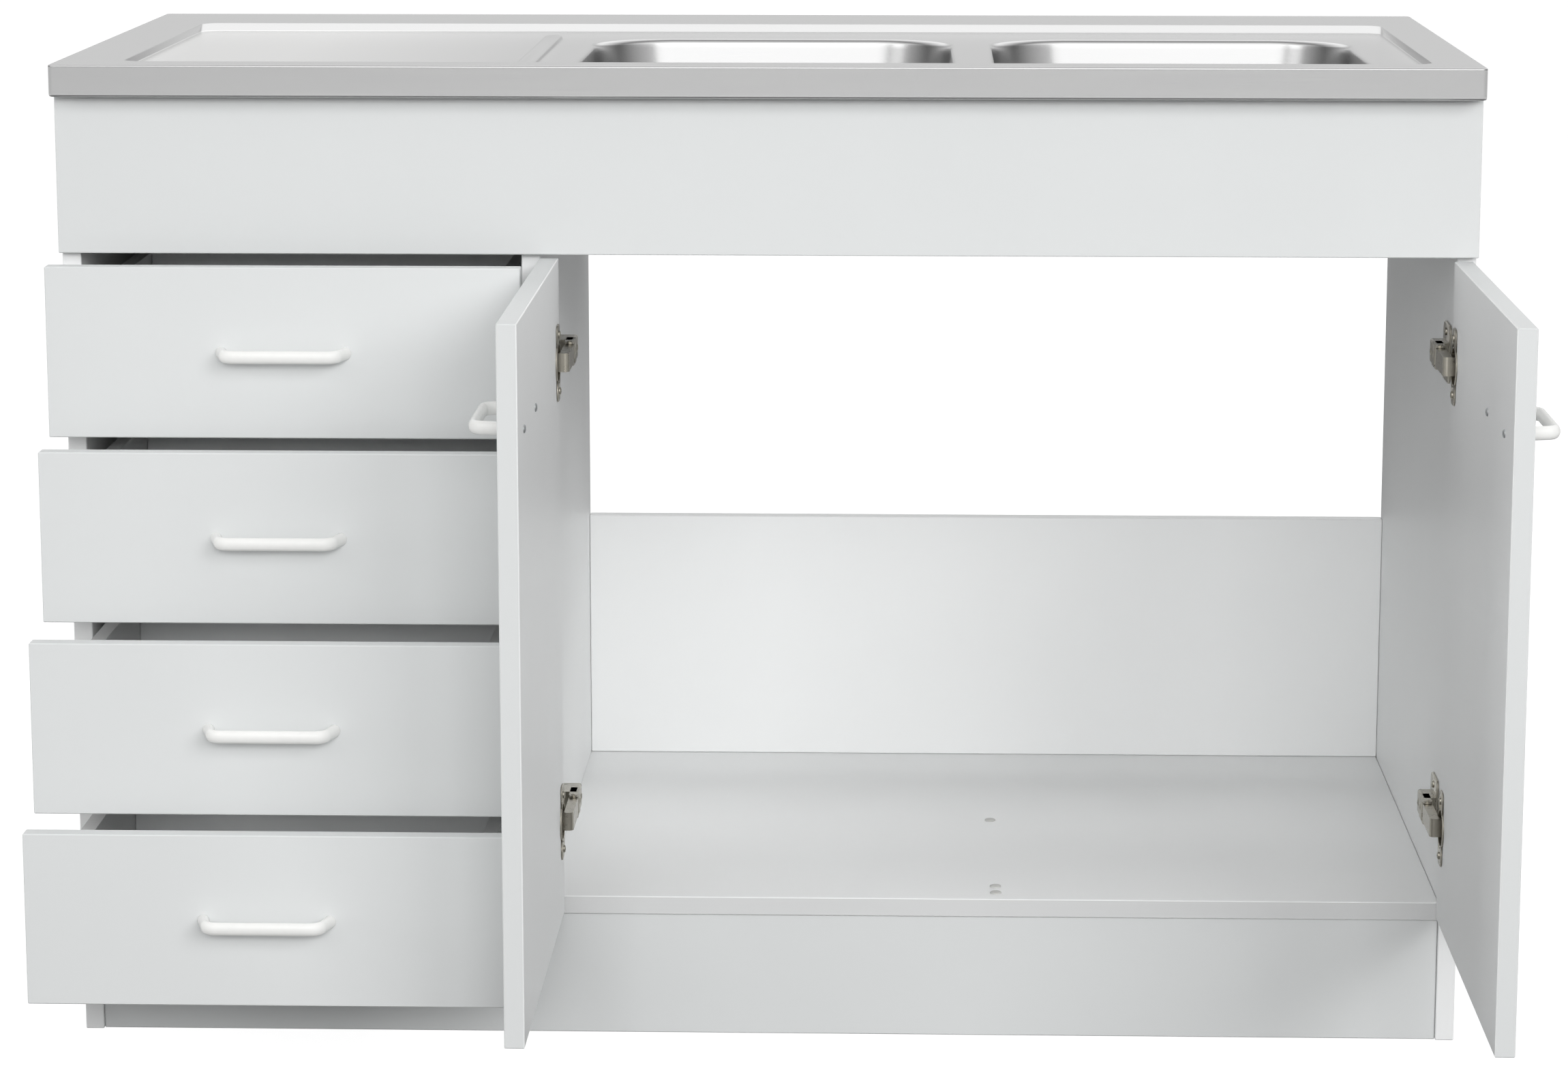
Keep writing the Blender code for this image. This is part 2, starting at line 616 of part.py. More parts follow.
def build_cup(hinge, side, hinge_edge, height, panel, empty):
    """A cup let into the door's inner face, with a flange for its two screws."""
    x = hinge_edge + side * (CUP_FROM_EDGE + CUP_RADIUS)
    face = FRONT_INNER + TOUCH
    flange_x = (x - CUP_FLANGE_WIDTH / 2, x + CUP_FLANGE_WIDTH / 2)
    flange_z = (height - CUP_FLANGE_HEIGHT / 2, height + CUP_FLANGE_HEIGHT / 2)
    mesh = box_mesh(f"{hinge}_cup", flange_x, (face, face + CUP_FLANGE), flange_z)
    cup = bpy.data.objects.new(f"{hinge}_cup", mesh)
    place(cup, PARTS, finish(f"{hinge}_cup", NICKEL), empty)

    def bar(name, radius, deep, proud):
        start, end = (x, FRONT_INNER - deep, height), (x, FRONT_INNER + proud, height)
        return cylinder(f"{hinge}_{name}", radius, start, end, empty)

    combine(cup, "UNION", bar("cup_body", CUP_RADIUS, CUP_DEPTH, TOUCH + CUP_FLANGE / 2))
    combine(cup, "DIFFERENCE", bar("cup_hollow", CUP_RADIUS - CUP_WALL, CUP_DEPTH - CUP_FLOOR, CUT_PAST))
    combine(panel, "DIFFERENCE", bar("cup_recess", CUP_RADIUS + TOUCH, CUP_DEPTH + TOUCH, CUT_PAST))


def build_link(hinge, side, open_face, pin, height, links):
    """A cranked link from the arm's pin into the cup of the open door, with a toe on the cup's floor."""
    half = LINK_WIDTH / 2
    across = open_face - pin[0]
    near, far = -half, half
    toe_tip = side * across - (CUP_DEPTH - CUP_FLOOR - TOUCH)
    cup_centre = CUP_FROM_EDGE + CUP_RADIUS
    hinge_edge_y = FRONT_OUTER - pin[1]
    toe_front = hinge_edge_y - cup_centre
    toe_back = toe_front + LINK_TOE_WIDTH
    eye_round = half * LINK_EYE_ROUND
    corners = [
        (far, half, eye_round),
        (near, half, eye_round),
        (near, toe_back, LINK_CORNER),
        (toe_tip, toe_back, LINK_CORNER),
        (toe_tip, toe_front, LINK_CORNER),
        (far, toe_front, half),
    ]
    outline = [Vector((side * point.x, point.y)) for point in rounded(corners)]
    eye = circle(0, 0, PIN_RADIUS + TOUCH)
    name = f"{hinge}_link"
    link = outline_piece(name, [outline, eye], LINK_HEIGHT, finish(name, NICKEL), links)
    link.location.z = height


def build_arm(hinge, side, carcass_face, pin, height):
    """A hinge arm: a plate on the carcass, a body and two cheeks that hold the link's pin."""
    reach = side * (pin[0] - carcass_face)
    half = LINK_WIDTH / 2
    cheek_low = LINK_HEIGHT / 2 + TOUCH
    cheek_high = cheek_low + ARM_CHEEK
    back = pin[1] + ARM_TO_PIN

    def across(near, far):
        return carcass_face + side * near, carcass_face + side * far

    def about(half_height):
        return height - half_height, height + half_height

    plate_y = (back, back + PLATE_LENGTH)
    mesh = box_mesh(f"{hinge}_arm", across(TOUCH, TOUCH + PLATE_SHEET), plate_y, about(PLATE_HEIGHT / 2))
    arm = bpy.data.objects.new(f"{hinge}_arm", mesh)
    place(arm, PARTS, finish(f"{hinge}_arm", NICKEL))
    body_y = (back + PLATE_SHEET, back + ARM_LENGTH)
    body = block(f"{hinge}_arm_body", across(PLATE_SHEET / 2, reach + half), body_y, about(cheek_high))
    cheek_y = (pin[1] - half, back + ARM_LENGTH / 2)
    pieces = [body]
    cheek_x = across(reach - half, reach + half - TOUCH / 2)
    for name, up in (("top", 1), ("bottom", -1)):
        cheek_z = (height + up * cheek_low, height + up * (cheek_high - TOUCH / 2))
        pieces.append(block(f"{hinge}_{name}_cheek", cheek_x, cheek_y, cheek_z))
    pin_half = cheek_low + ARM_CHEEK / 2
    ends = (pin[0], pin[1], height - pin_half), (pin[0], pin[1], height + pin_half)
    pieces.append(cylinder(f"{hinge}_pin", PIN_RADIUS, *ends))
    combine(arm, "UNION", *pieces)


build_carcass()
build_sink()
for drawer_number, drawn_out in enumerate(DRAWER_OUT, start=1):
    build_drawer(drawer_number, drawn_out)
build_door("left_door", 1, PARTITION_X + FRONT_GAP / 2, PARTITION_RIGHT, LEFT_DOOR_INSET)
build_door("right_door", -1, HALF_WIDTH - FRONT_GAP / 2, RIGHT_FACE, RIGHT_DOOR_INSET)
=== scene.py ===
"""A kitchen sink cabinet with its doors and drawers open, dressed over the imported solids.

Metres, +X to the right, +Y to the wall, +Z up. The sections follow the order of assembly.
"""

import math

import bmesh
import bpy
from mathutils import Matrix, Vector


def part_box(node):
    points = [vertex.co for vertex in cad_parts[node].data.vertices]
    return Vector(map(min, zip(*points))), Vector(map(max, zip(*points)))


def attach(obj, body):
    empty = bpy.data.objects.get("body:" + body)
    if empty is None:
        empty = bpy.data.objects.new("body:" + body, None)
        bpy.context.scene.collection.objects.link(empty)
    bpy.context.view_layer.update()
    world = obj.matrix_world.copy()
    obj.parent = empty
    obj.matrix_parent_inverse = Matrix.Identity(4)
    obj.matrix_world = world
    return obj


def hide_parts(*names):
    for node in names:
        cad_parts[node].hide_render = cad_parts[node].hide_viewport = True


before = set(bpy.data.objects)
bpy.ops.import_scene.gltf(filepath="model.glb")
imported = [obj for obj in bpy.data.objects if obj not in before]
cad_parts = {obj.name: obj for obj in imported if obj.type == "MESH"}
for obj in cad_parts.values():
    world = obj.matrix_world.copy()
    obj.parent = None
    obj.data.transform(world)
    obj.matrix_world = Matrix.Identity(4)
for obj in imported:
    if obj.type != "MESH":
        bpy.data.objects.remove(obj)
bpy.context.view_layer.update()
bpy.ops.object.select_all(action="DESELECT")


# Carcass boards: 16 mm chipboard faced with white melamine, sawn to size and edged with a plastic band.
# The sides, partition, base and fixed front panel are dowelled together and stand on the plinth.
def linear(code):
    """The linear colour of an sRGB hex value."""
    shares = [int(code[place:place + 2], 16) / 255 for place in (1, 3, 5)]
    return (*(s / 12.92 if s <= 0.04045 else ((s + 0.055) / 1.055) ** 2.4 for s in shares), 1.0)


def add_node(material, kind, inputs=(), **settings):
    """Adds a shader node; each input is a plain value or the (node, output) that feeds it."""
    tree = material.node_tree
    node = tree.nodes.new(kind)
    for name, value in settings.items():
        setattr(node, name, value)
    for socket, value in dict(inputs).items():
        if isinstance(value, tuple) and isinstance(value[0], bpy.types.Node):
            tree.links.new(value[0].outputs[value[1]], node.inputs[socket])
        else:
            node.inputs[socket].default_value = value
    return node


def empty_material(name):
    """A new material that has no nodes yet."""
    material = bpy.data.materials.new(name)
    material.use_nodes = True
    material.node_tree.nodes.clear()
    return material


def melamine_board(name, across, face, band, shaded, outer=None, outer_way=1):
    """Decor paper pressed in resin: a satin white with a pearl grain, and a band of its own tone on the
    edges.

    across is the board's thin axis. outer is the colour of the wide face that looks the way of outer_way
    along that axis, where the two faces are painted in different tones to stand in for the different light on
    them. The grain is about 1 mm, drawn at 3 mm so that it shows.
    """
    grain_width = 0.003
    cloud_width = 0.25
    squarely = 0.6  # how far a wide face looks along the thin axis, at least
    material = empty_material(name)
    place = add_node(material, "ShaderNodeTexCoord")
    grain = add_node(material, "ShaderNodeTexNoise", {
        "Vector": (place, "Object"), "Scale": 1 / grain_width, "Detail": 2.0})
    cloud = add_node(material, "ShaderNodeTexNoise", {
        "Vector": (place, "Object"), "Scale": 1 / cloud_width, "Detail": 3.0})
    shade = add_node(material, "ShaderNodeMixRGB", {
        "Fac": (cloud, "Fac"), "Color1": linear(shaded), "Color2": linear(face)})
    turned = add_node(material, "ShaderNodeSeparateXYZ", {"Vector": (place, "Normal")})
    facing = add_node(material, "ShaderNodeMath", {0: (turned, across)}, operation="ABSOLUTE")
    on_face = add_node(material, "ShaderNodeMath", {
        0: (facing, "Value"), 1: squarely}, operation="GREATER_THAN")
    colour = add_node(material, "ShaderNodeMixRGB", {
        "Fac": (on_face, "Value"), "Color1": linear(band), "Color2": (shade, "Color")})
    if outer:
        outward = add_node(material, "ShaderNodeMath", {
            0: (turned, across), 1: outer_way}, operation="MULTIPLY")
        on_outer = add_node(material, "ShaderNodeMath", {
            0: (outward, "Value"), 1: squarely}, operation="GREATER_THAN")
        colour = add_node(material, "ShaderNodeMixRGB", {
            "Fac": (on_outer, "Value"), "Color1": (colour, "Color"), "Color2": linear(outer)})
    gloss = add_node(material, "ShaderNodeMapRange", {
        "Value": (grain, "Fac"), "To Min": 0.34, "To Max": 0.46})
    relief = add_node(material, "ShaderNodeBump", {
        "Height": (grain, "Fac"), "Strength": 0.08, "Distance": 0.0002})
    surface = add_node(material, "ShaderNodeBsdfPrincipled", {
        "Base Color": (colour, "Color"), "Roughness": (gloss, "Result"), "Normal": (relief, "Normal")})
    add_node(material, "ShaderNodeOutputMaterial", {"Surface": (surface, "BSDF")})
    return material


def dress(node, material):
    """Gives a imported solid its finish."""
    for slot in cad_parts[node].material_slots:
        slot.material = material


# The boards are all one white. Faces inside the cabinet are painted a lighter tone than the fronts: painted
# light that makes up for the weaker light inside. The uprights' edge band is painted lighter too, where the
# drawers shade it.
inside_white_painted_lighter = "#F6F7F7"
inside_cloud_painted_lighter = "#F0F1F1"
melamine_upright_painted_lighter = melamine_board("white_melamine_upright", "X", inside_white_painted_lighter, "#F4F5F5", inside_cloud_painted_lighter)
melamine_front = melamine_board("white_melamine_front", "Y", "#DFE1E1", "#DBDDDD", "#D9DBDB")
melamine_inner_painted_lighter = melamine_board("white_melamine_inner", "Y", inside_white_painted_lighter, "#E8E9E9", inside_cloud_painted_lighter)
melamine_flat_painted_lighter = melamine_board("white_melamine_flat", "Z", inside_white_painted_lighter, "#D8D9D9", inside_cloud_painted_lighter)
for board in ("left_side_panel", "right_side_panel", "middle_partition"):
    dress(board, melamine_upright_painted_lighter)
for board in ("front_fascia", "plinth_board"):
    dress(board, melamine_front)
for board in ("rear_lower_board", "rear_top_rail"):
    dress(board, melamine_inner_painted_lighter)
dress("base_board", melamine_flat_painted_lighter)


# Cover caps: low domed discs, 10 mm across, moulded from grey-white plastic.
# They are pressed onto the heads of the screws that hold the base board down.
weld = 1e-6  # points closer than this are one


def start_piece(name):
    """A new piece, empty and open for editing."""
    bpy.ops.mesh.primitive_plane_add(size=0.01)
    piece = bpy.context.object
    piece.name = piece.data.name = name
    bpy.ops.object.mode_set(mode="EDIT")
    bpy.ops.mesh.delete(type="VERT")
    return piece


def turn_wall(rings, steps, centre=(0, 0)):
    """Draws a round wall in the open mesh, about an upright axis, through each (radius, height) in turn."""
    radius, height = rings[0]
    bpy.ops.mesh.select_all(action="DESELECT")
    bpy.ops.mesh.primitive_circle_add(vertices=steps, radius=radius, location=(*centre, height))
    for new_radius, new_height in rings[1:]:
        bpy.ops.mesh.extrude_edges_move(TRANSFORM_OT_translate={"value": (0, 0, new_height - height)})
        size = new_radius / radius
        bpy.ops.transform.resize(value=(size, size, 1), center_override=(*centre, new_height))
        radius, height = new_radius, new_height


def shade_round(degrees=40):
    """Shades the edges that are flatter than an angle as round."""
    bpy.ops.object.shade_smooth_by_angle(angle=math.radians(degrees))


def close_piece(degrees=40):
    """Merges the open mesh, closes its ends, faces it outwards and shades it."""
    bpy.ops.mesh.select_all(action="SELECT")
    bpy.ops.mesh.remove_doubles(threshold=weld)
    bpy.ops.mesh.fill_holes(sides=0)
    bpy.ops.mesh.select_all(action="SELECT")
    bpy.ops.mesh.normals_make_consistent(inside=False)
    bpy.ops.object.mode_set(mode="OBJECT")
    shade_round(degrees)


def moulded_plastic(name, low_tone, high_tone, low_gloss, high_gloss):
    """Injection-moulded plastic: an even tone with a light polish and a faint flow mark about 8 mm long."""
    flow_length = 0.008
    material = empty_material(name)
    place = add_node(material, "ShaderNodeTexCoord")
    flow = add_node(material, "ShaderNodeTexNoise", {
        "Vector": (place, "Object"), "Scale": 1 / flow_length, "Detail": 2.0})
    tone = add_node(material, "ShaderNodeMixRGB", {
        "Fac": (flow, "Fac"), "Color1": linear(low_tone), "Color2": linear(high_tone)})
    gloss = add_node(material, "ShaderNodeMapRange", {
        "Value": (flow, "Fac"), "To Min": low_gloss, "To Max": high_gloss})
    surface = add_node(material, "ShaderNodeBsdfPrincipled", {
        "Base Color": (tone, "Color"), "Roughness": (gloss, "Result")})
    add_node(material, "ShaderNodeOutputMaterial", {"Surface": (surface, "BSDF")})
    return material


base_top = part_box("base_board")[1].z
cap_profile = [(0.0050, 0.0), (0.0050, 0.0007), (0.0047, 0.0012), (0.0038, 0.0016), (0.0022, 0.0018)]
cap_spots = ((0.199, 0.262), (0.200, 0.030), (0.200, 0.009))
caps = start_piece("base_cover_caps")
for spot in cap_spots:
    turn_wall([(radius, base_top + height) for radius, height in cap_profile], 24, spot)
close_piece()
caps.data.materials.append(moulded_plastic("moulded_grey_white_cap", "#BDBDBA", "#C6C6C3", 0.4, 0.5))
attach(caps, "carcass")


# Drawer bay back: a 3 mm sheet of pressed hardboard behind the drawers, lacquered white.
# It is nailed to the rear edges of the carcass down both sides.

# Lacquered hardboard: a flat off-white with the faint mesh print of the press on its rear face.
# The print is about 2 mm, drawn at 4 mm so that it shows.
mesh_print = 0.004
hardboard = empty_material("lacquered_hardboard")
place = add_node(hardboard, "ShaderNodeTexCoord")
fibre = add_node(hardboard, "ShaderNodeTexNoise", {
    "Vector": (place, "Object"), "Scale": 1 / mesh_print, "Detail": 4.0})
tone = add_node(hardboard, "ShaderNodeMixRGB", {
    "Fac": (fibre, "Fac"), "Color1": linear("#D9D8D3"), "Color2": linear("#E9E8E4")})
relief = add_node(hardboard, "ShaderNodeBump", {
    "Height": (fibre, "Fac"), "Strength": 0.2, "Distance": 0.0004})
surface = add_node(hardboard, "ShaderNodeBsdfPrincipled", {
    "Base Color": (tone, "Color"), "Roughness": 0.6, "Normal": (relief, "Normal")})
add_node(hardboard, "ShaderNodeOutputMaterial", {"Surface": (surface, "BSDF")})
dress("drawer_bay_back", hardboard)

back_low, back_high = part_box("drawer_bay_back")
nail_edge = 0.008
nail_rows = 7
nail_profile = [(0.0024, -0.001), (0.0024, 0.0003), (0.0020, 0.0006)]
nails = start_piece("back_nails")
for row in range(nail_rows):
    up = back_low.z + nail_edge + (back_high.z - back_low.z - 2 * nail_edge) * row / (nail_rows - 1)
    for across in (back_low.x + nail_edge, back_high.x - nail_edge):
        turn_wall(nail_profile, 12, (across, up))
close_piece()
# The nails are drawn lying on the floor, so up and back change places.
stand_up = Matrix(((1, 0, 0, 0), (0, 0, 1, 0), (0, 1, 0, 0), (0, 0, 0, 1)))
nails.data.transform(Matrix.Translation((0, back_high.y, 0)) @ stand_up)
nails.data.flip_normals()

# Zinc-plated steel, as on nails and screws: a dull blue-grey with patches about 3 mm wide.
zinc_patch = 0.003
zinc = empty_material("zinc_plated_steel")
place = add_node(zinc, "ShaderNodeTexCoord")
patch = add_node(zinc, "ShaderNodeTexNoise", {
    "Vector": (place, "Object"), "Scale": 1 / zinc_patch, "Detail": 3.0})
tone = add_node(zinc, "ShaderNodeMixRGB", {
    "Fac": (patch, "Fac"), "Color1": linear("#A6A8AA"), "Color2": linear("#C2C4C5")})
gloss = add_node(zinc, "ShaderNodeMapRange", {"Value": (patch, "Fac"), "To Min": 0.30, "To Max": 0.48})
surface = add_node(zinc, "ShaderNodeBsdfPrincipled", {
    "Base Color": (tone, "Color"), "Metallic": 1.0, "Roughness": (gloss, "Result")})
add_node(zinc, "ShaderNodeOutputMaterial", {"Surface": (surface, "BSDF")})
nails.data.materials.append(zinc)
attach(nails, "carcass")


# Sink top: one sheet of 1 mm stainless steel, pressed into a shallow recess with a plain drainer, a bead
# and two bowls, and folded into an apron all round. It lies on the carcass.
sink_low, sink_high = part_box("sink_top")
deck = sink_high.z
rim_x = (sink_low.x, sink_high.x)
rim_y = (sink_low.y, sink_high.y)
sheet = 0.001
flat_strip = 0.0005  # at the edge of a flat, so that the rounding beside it doesn't shade it
corner_steps = 10

apron_height = 0.027
apron_fold = 0.011
fold_round = 0.002
rim_round = 0.0014
rim_corner = 0.004

recess_left = 0.055
recess_right = 0.040
recess_front = 0.039
recess_back = 0.117
recess_drop = 0.006
recess_corner = 0.018
wall_run = 0.003
rear_run = 0.028
wall_ease = 0.2  # share of the recess wall's run that is bent, at each end
wall_stations = (0.0, 0.05, 0.10, 0.15, 0.20, 0.23, 0.77, 0.80, 0.85, 0.90, 0.95, 1.0)

bowl_widths = ((-0.165, 0.1585), (0.1925, 0.516))
bowl_length = (0.0007, 0.3197)
bowl_flare = 0.004
bowl_corner = 0.070
bowl_drop = 0.150
bowl_lean = 82
mouth_round = 0.005
floor_round = 0.022
waste_hole = 0.026

bead_width = (-0.214, -0.196)
bead_length = (0.004, 0.316)
bead_flare = 0.002
bead_corner = 0.009
bead_round = 0.0024
bead_slope = 65
bead_wall = (0.0006, 0.0013)


def inset(span, run):
    """A span that is shorter by a run at each end, or longer where the run is negative."""
    return span[0] + run, span[1] - run


def arc(radius, start, stop, steps=6):
    """(run, drop) steps along a rounded edge, from one slope in degrees to another.

    A hollow has a negative radius.
    """
    first = math.radians(start)
    slopes = [math.radians(start + (stop - start) * step / steps) for step in range(1, steps + 1)]
    return [(radius * (math.sin(slope) - math.sin(first)), radius * (math.cos(first) - math.cos(slope)))
            for slope in slopes]


def trace(*stretches):
    """Joins stretches of (run, drop) steps, each from the end of the one before."""
    path = [(0.0, 0.0)]
    for stretch in stretches:
        run, drop = path[-1]
        path += [(run + step_run, drop + step_drop) for step_run, step_drop in stretch]
    return path


def straight(run, drop):
    """A flat stretch, with a short step at each end that keeps the rounding beside it from shading it."""
    return [(run * share, drop * share) for share in (0.03, 0.97, 1.0)]


def eased_fall(along):
    """The share of the recess wall's drop that is done at a share of its run."""
    if wall_ease < along < 1 - wall_ease:
        return (along - wall_ease / 2) / (1 - wall_ease)
    end_bend = min(along, 1 - along)
    bend_fall = (end_bend * end_bend / (2 * wall_ease)) / (1 - wall_ease)
    return bend_fall if along < 0.5 else 1 - bend_fall


def press(rings, corner):
    """Draws a wall in the open mesh through rounded rectangles (x span, y span, height), in turn."""
    x, y, height = rings[0]
    middle = (sum(x) / 2, sum(y) / 2, height)
    bpy.ops.mesh.select_all(action="DESELECT")
    bpy.ops.mesh.primitive_plane_add(size=1, location=middle)
    bpy.ops.transform.resize(value=(x[1] - x[0], y[1] - y[0], 1), center_override=middle)
    bpy.ops.mesh.bevel(offset=corner, segments=corner_steps, affect="VERTICES")
    bpy.ops.mesh.delete(type="ONLY_FACE")
    bpy.ops.mesh.select_mode(type="EDGE")
    bpy.ops.mesh.select_loose()
    for new_x, new_y, new_height in rings[1:]:
        new_middle = (sum(new_x) / 2, sum(new_y) / 2, new_height)
        step = [new - old for new, old in zip(new_middle, middle)]
        bpy.ops.mesh.extrude_edges_move(TRANSFORM_OT_translate={"value": step})
        size = ((new_x[1] - new_x[0]) / (x[1] - x[0]), (new_y[1] - new_y[0]) / (y[1] - y[0]), 1)
        bpy.ops.transform.resize(value=size, center_override=new_middle)
        x, y, middle = new_x, new_y, new_middle


def pick_open_edges(height):
    """Selects the open edges that lie at one height."""
    same_height = 1e-5
    bpy.ops.mesh.select_mode(type="EDGE")
    bpy.ops.mesh.select_all(action="DESELECT")
    mesh = bmesh.from_edit_mesh(bpy.context.object.data)
    for edge in mesh.edges:
        level = all(abs(vert.co.z - height) < same_height for vert in edge.verts)
        edge.select_set(level and len(edge.link_faces) < 2)
    bmesh.update_edit_mesh(bpy.context.object.data)


sink = start_piece("sink_pressing")
rim_path = trace(
    [(flat_strip, 0)],
    arc(rim_round, 0, 90),
    straight(0, apron_height - rim_round - fold_round),
    arc(fold_round, 90, 180, 4),
    [(-apron_fold, 0)])
rim_start = rim_round + flat_strip
rim_rings = []
for run, drop in rim_path:
    rim_rings.append((inset(rim_x, rim_start - run), inset(rim_y, rim_start - run), deck - drop))
press(rim_rings, rim_corner)

recess_x = (rim_x[0] + recess_left, rim_x[1] - recess_right)
recess_y = (rim_y[0] + recess_front, rim_y[1] - recess_back)
recess_floor = deck - recess_drop
recess_rings = [(inset(recess_x, -flat_strip), inset(recess_y, -flat_strip), deck)]
for along in wall_stations:
    wall_x = inset(recess_x, wall_run * along)
    wall_y = (recess_y[0] + wall_run * along, recess_y[1] - rear_run * along)
    recess_rings.append((wall_x, wall_y, deck - recess_drop * eased_fall(along)))
recess_rings.append((inset(wall_x, flat_strip), inset(wall_y, flat_strip), recess_floor))
press(recess_rings, recess_corner)

mouth = arc(mouth_round, 0, bowl_lean)
foot = arc(-floor_round, bowl_lean, 0, 10)
wall_drop = bowl_drop - mouth[-1][1] - foot[-1][1]
bowl_wall = straight(wall_drop / math.tan(math.radians(bowl_lean)), wall_drop)
bowl_path = trace([(flat_strip, 0)], mouth, bowl_wall, foot, [(flat_strip, 0)])
bowl_y = inset(bowl_length, -bowl_flare)
for bowl_width in bowl_widths:
    bowl_x = inset(bowl_width, -bowl_flare)
    bowl_rings = [(inset(bowl_x, run), inset(bowl_y, run), recess_floor - drop) for run, drop in bowl_path]
    press(bowl_rings, bowl_corner)

bead_path = trace(
    [(flat_strip, 0)], arc(bead_round, 0, bead_slope, 4), [bead_wall], arc(-bead_round, bead_slope, 0, 4))
bead_x = inset(bead_width, -bead_flare)
bead_y = inset(bead_length, -bead_flare)
press([(inset(bead_x, run), inset(bead_y, run), recess_floor + drop) for run, drop in bead_path], bead_corner)
bpy.ops.mesh.edge_face_add()

bowl_floor = recess_floor - bowl_drop
waste_seats = {}
for waste in ("left_waste", "right_waste"):
    waste_low, waste_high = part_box(waste)
    middle = (waste_low + waste_high) / 2
    waste_seats[waste] = (middle.x, middle.y, bowl_floor)
    bpy.ops.mesh.select_all(action="DESELECT")
    bpy.ops.mesh.primitive_circle_add(vertices=48, radius=waste_hole, location=waste_seats[waste])
for height in (deck, recess_floor, bowl_floor):
    pick_open_edges(height)
    bpy.ops.mesh.fill()
bpy.ops.mesh.select_all(action="SELECT")
bpy.ops.mesh.remove_doubles(threshold=weld)
bpy.ops.mesh.normals_make_consistent(inside=False)
bpy.ops.object.mode_set(mode="OBJECT")
wall = sink.modifiers.new("sheet", "SOLIDIFY")
wall.thickness = sheet
wall.offset = -1
bpy.ops.object.modifier_apply(modifier="sheet")
shade_round()

# Satin stainless steel: rolled and brushed along the cabinet, so its soft reflections are drawn out
# sideways. The brushing is about 0.1 mm wide, drawn at 0.8 mm so that it shows.
brush_length = 0.12
brush_width = 0.0008
satin_steel = empty_material("satin_stainless_steel")
place = add_node(satin_steel, "ShaderNodeTexCoord")
drawn_out = add_node(satin_steel, "ShaderNodeMapping", {
    "Vector": (place, "Object"), "Scale": (1 / brush_length, 1 / brush_width, 1 / brush_width)})
brush = add_node(satin_steel, "ShaderNodeTexNoise", {
    "Vector": (drawn_out, "Vector"), "Scale": 1.0, "Detail": 3.0})
gloss = add_node(satin_steel, "ShaderNodeMapRange", {
    "Value": (brush, "Fac"), "To Min": 0.22, "To Max": 0.28})
tone = add_node(satin_steel, "ShaderNodeMixRGB", {
    "Fac": (brush, "Fac"), "Color1": linear("#C4C4C5"), "Color2": linear("#CDCDCC")})
# The drainer's outer end is painted brighter than the deck round it, a painted reflection that fades towards
# the bowls.
painted_sheen_full_until = -0.42
painted_sheen_gone_from = -0.20
floor_slack = 0.0006
spot = add_node(satin_steel, "ShaderNodeSeparateXYZ", {"Vector": (place, "Object")})
turned = add_node(satin_steel, "ShaderNodeSeparateXYZ", {"Vector": (place, "Normal")})
at_floor = add_node(satin_steel, "ShaderNodeMath", {
    0: (spot, "Z"), 1: recess_floor, 2: floor_slack}, operation="COMPARE")
on_floor = add_node(satin_steel, "ShaderNodeMath", {
    0: (at_floor, "Value"), 1: (turned, "Z")}, operation="MULTIPLY")
painted_sheen_fade = add_node(satin_steel, "ShaderNodeMapRange", {
    "Value": (spot, "X"), "From Min": painted_sheen_full_until, "From Max": painted_sheen_gone_from, "To Min": 1.0, "To Max": 0.0})
painted_sheen = add_node(satin_steel, "ShaderNodeMath", {
    0: (on_floor, "Value"), 1: (painted_sheen_fade, "Result")}, operation="MULTIPLY")
tone = add_node(satin_steel, "ShaderNodeMixRGB", {
    "Fac": (painted_sheen, "Value"), "Color1": (tone, "Color"), "Color2": linear("#EBEBEA")})
relief = add_node(satin_steel, "ShaderNodeBump", {
    "Height": (brush, "Fac"), "Strength": 0.02, "Distance": 0.0001})
surface = add_node(satin_steel, "ShaderNodeBsdfPrincipled", {
    "Base Color": (tone, "Color"), "Metallic": 1.0, "Roughness": (gloss, "Result"),
    "Normal": (relief, "Normal")})
add_node(satin_steel, "ShaderNodeOutputMaterial", {"Surface": (surface, "BSDF")})
sink.data.materials.append(satin_steel)
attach(sink, "carcass")
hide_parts("sink_top")


# Wastes: a spun steel flange and threaded tail in the hole of each bowl, with a pierced steel strainer.
# One screw holds the strainer, and a plastic ring nut clamps the tail from below.
def copy_piece(piece, name, placing):
    """A copy of a piece with its own mesh, moved by a matrix."""
    twin = piece.copy()
    twin.data = piece.data.copy()
    twin.data.transform(placing)
    twin.name = twin.data.name = name
    bpy.context.scene.collection.objects.link(twin)
    return twin


def join(pieces):
    """Makes one piece of several."""
    bpy.ops.object.select_all(action="DESELECT")
    for piece in pieces:
        piece.select_set(True)
    bpy.context.view_layer.objects.active = pieces[0]
    bpy.ops.object.join()
    return pieces[0]


def cut(piece, cutter):
    """Cuts one piece's shape out of another and clears the cutter away."""
    bite = piece.modifiers.new("cut", "BOOLEAN")
    bite.object = cutter
    bite.solver = "EXACT"
    bpy.context.view_layer.objects.active = piece
    bpy.ops.object.modifier_apply(modifier="cut")
    bpy.data.objects.remove(cutter)


# One pan-head screw with a cross slot, 7 mm across, is copied wherever one shows.
screw_profile = [(0.0035, 0.0), (0.0035, 0.0007), (0.0032, 0.0013), (0.0025, 0.0017), (0.0015, 0.0019)]
screw_top = 0.0019
slot_size = (0.0042, 0.0009, 0.0018)
screw = start_piece("pan_head_screw")
turn_wall(screw_profile, 20)
close_piece()
for slot_turn in (0, math.pi / 2):
    bpy.ops.mesh.primitive_cube_add(size=1, location=(0, 0, screw_top), rotation=(0, 0, slot_turn))
    slot_bar = bpy.context.object
    slot_bar.scale = slot_size
    cut(screw, slot_bar)
screw.data.materials.append(zinc)

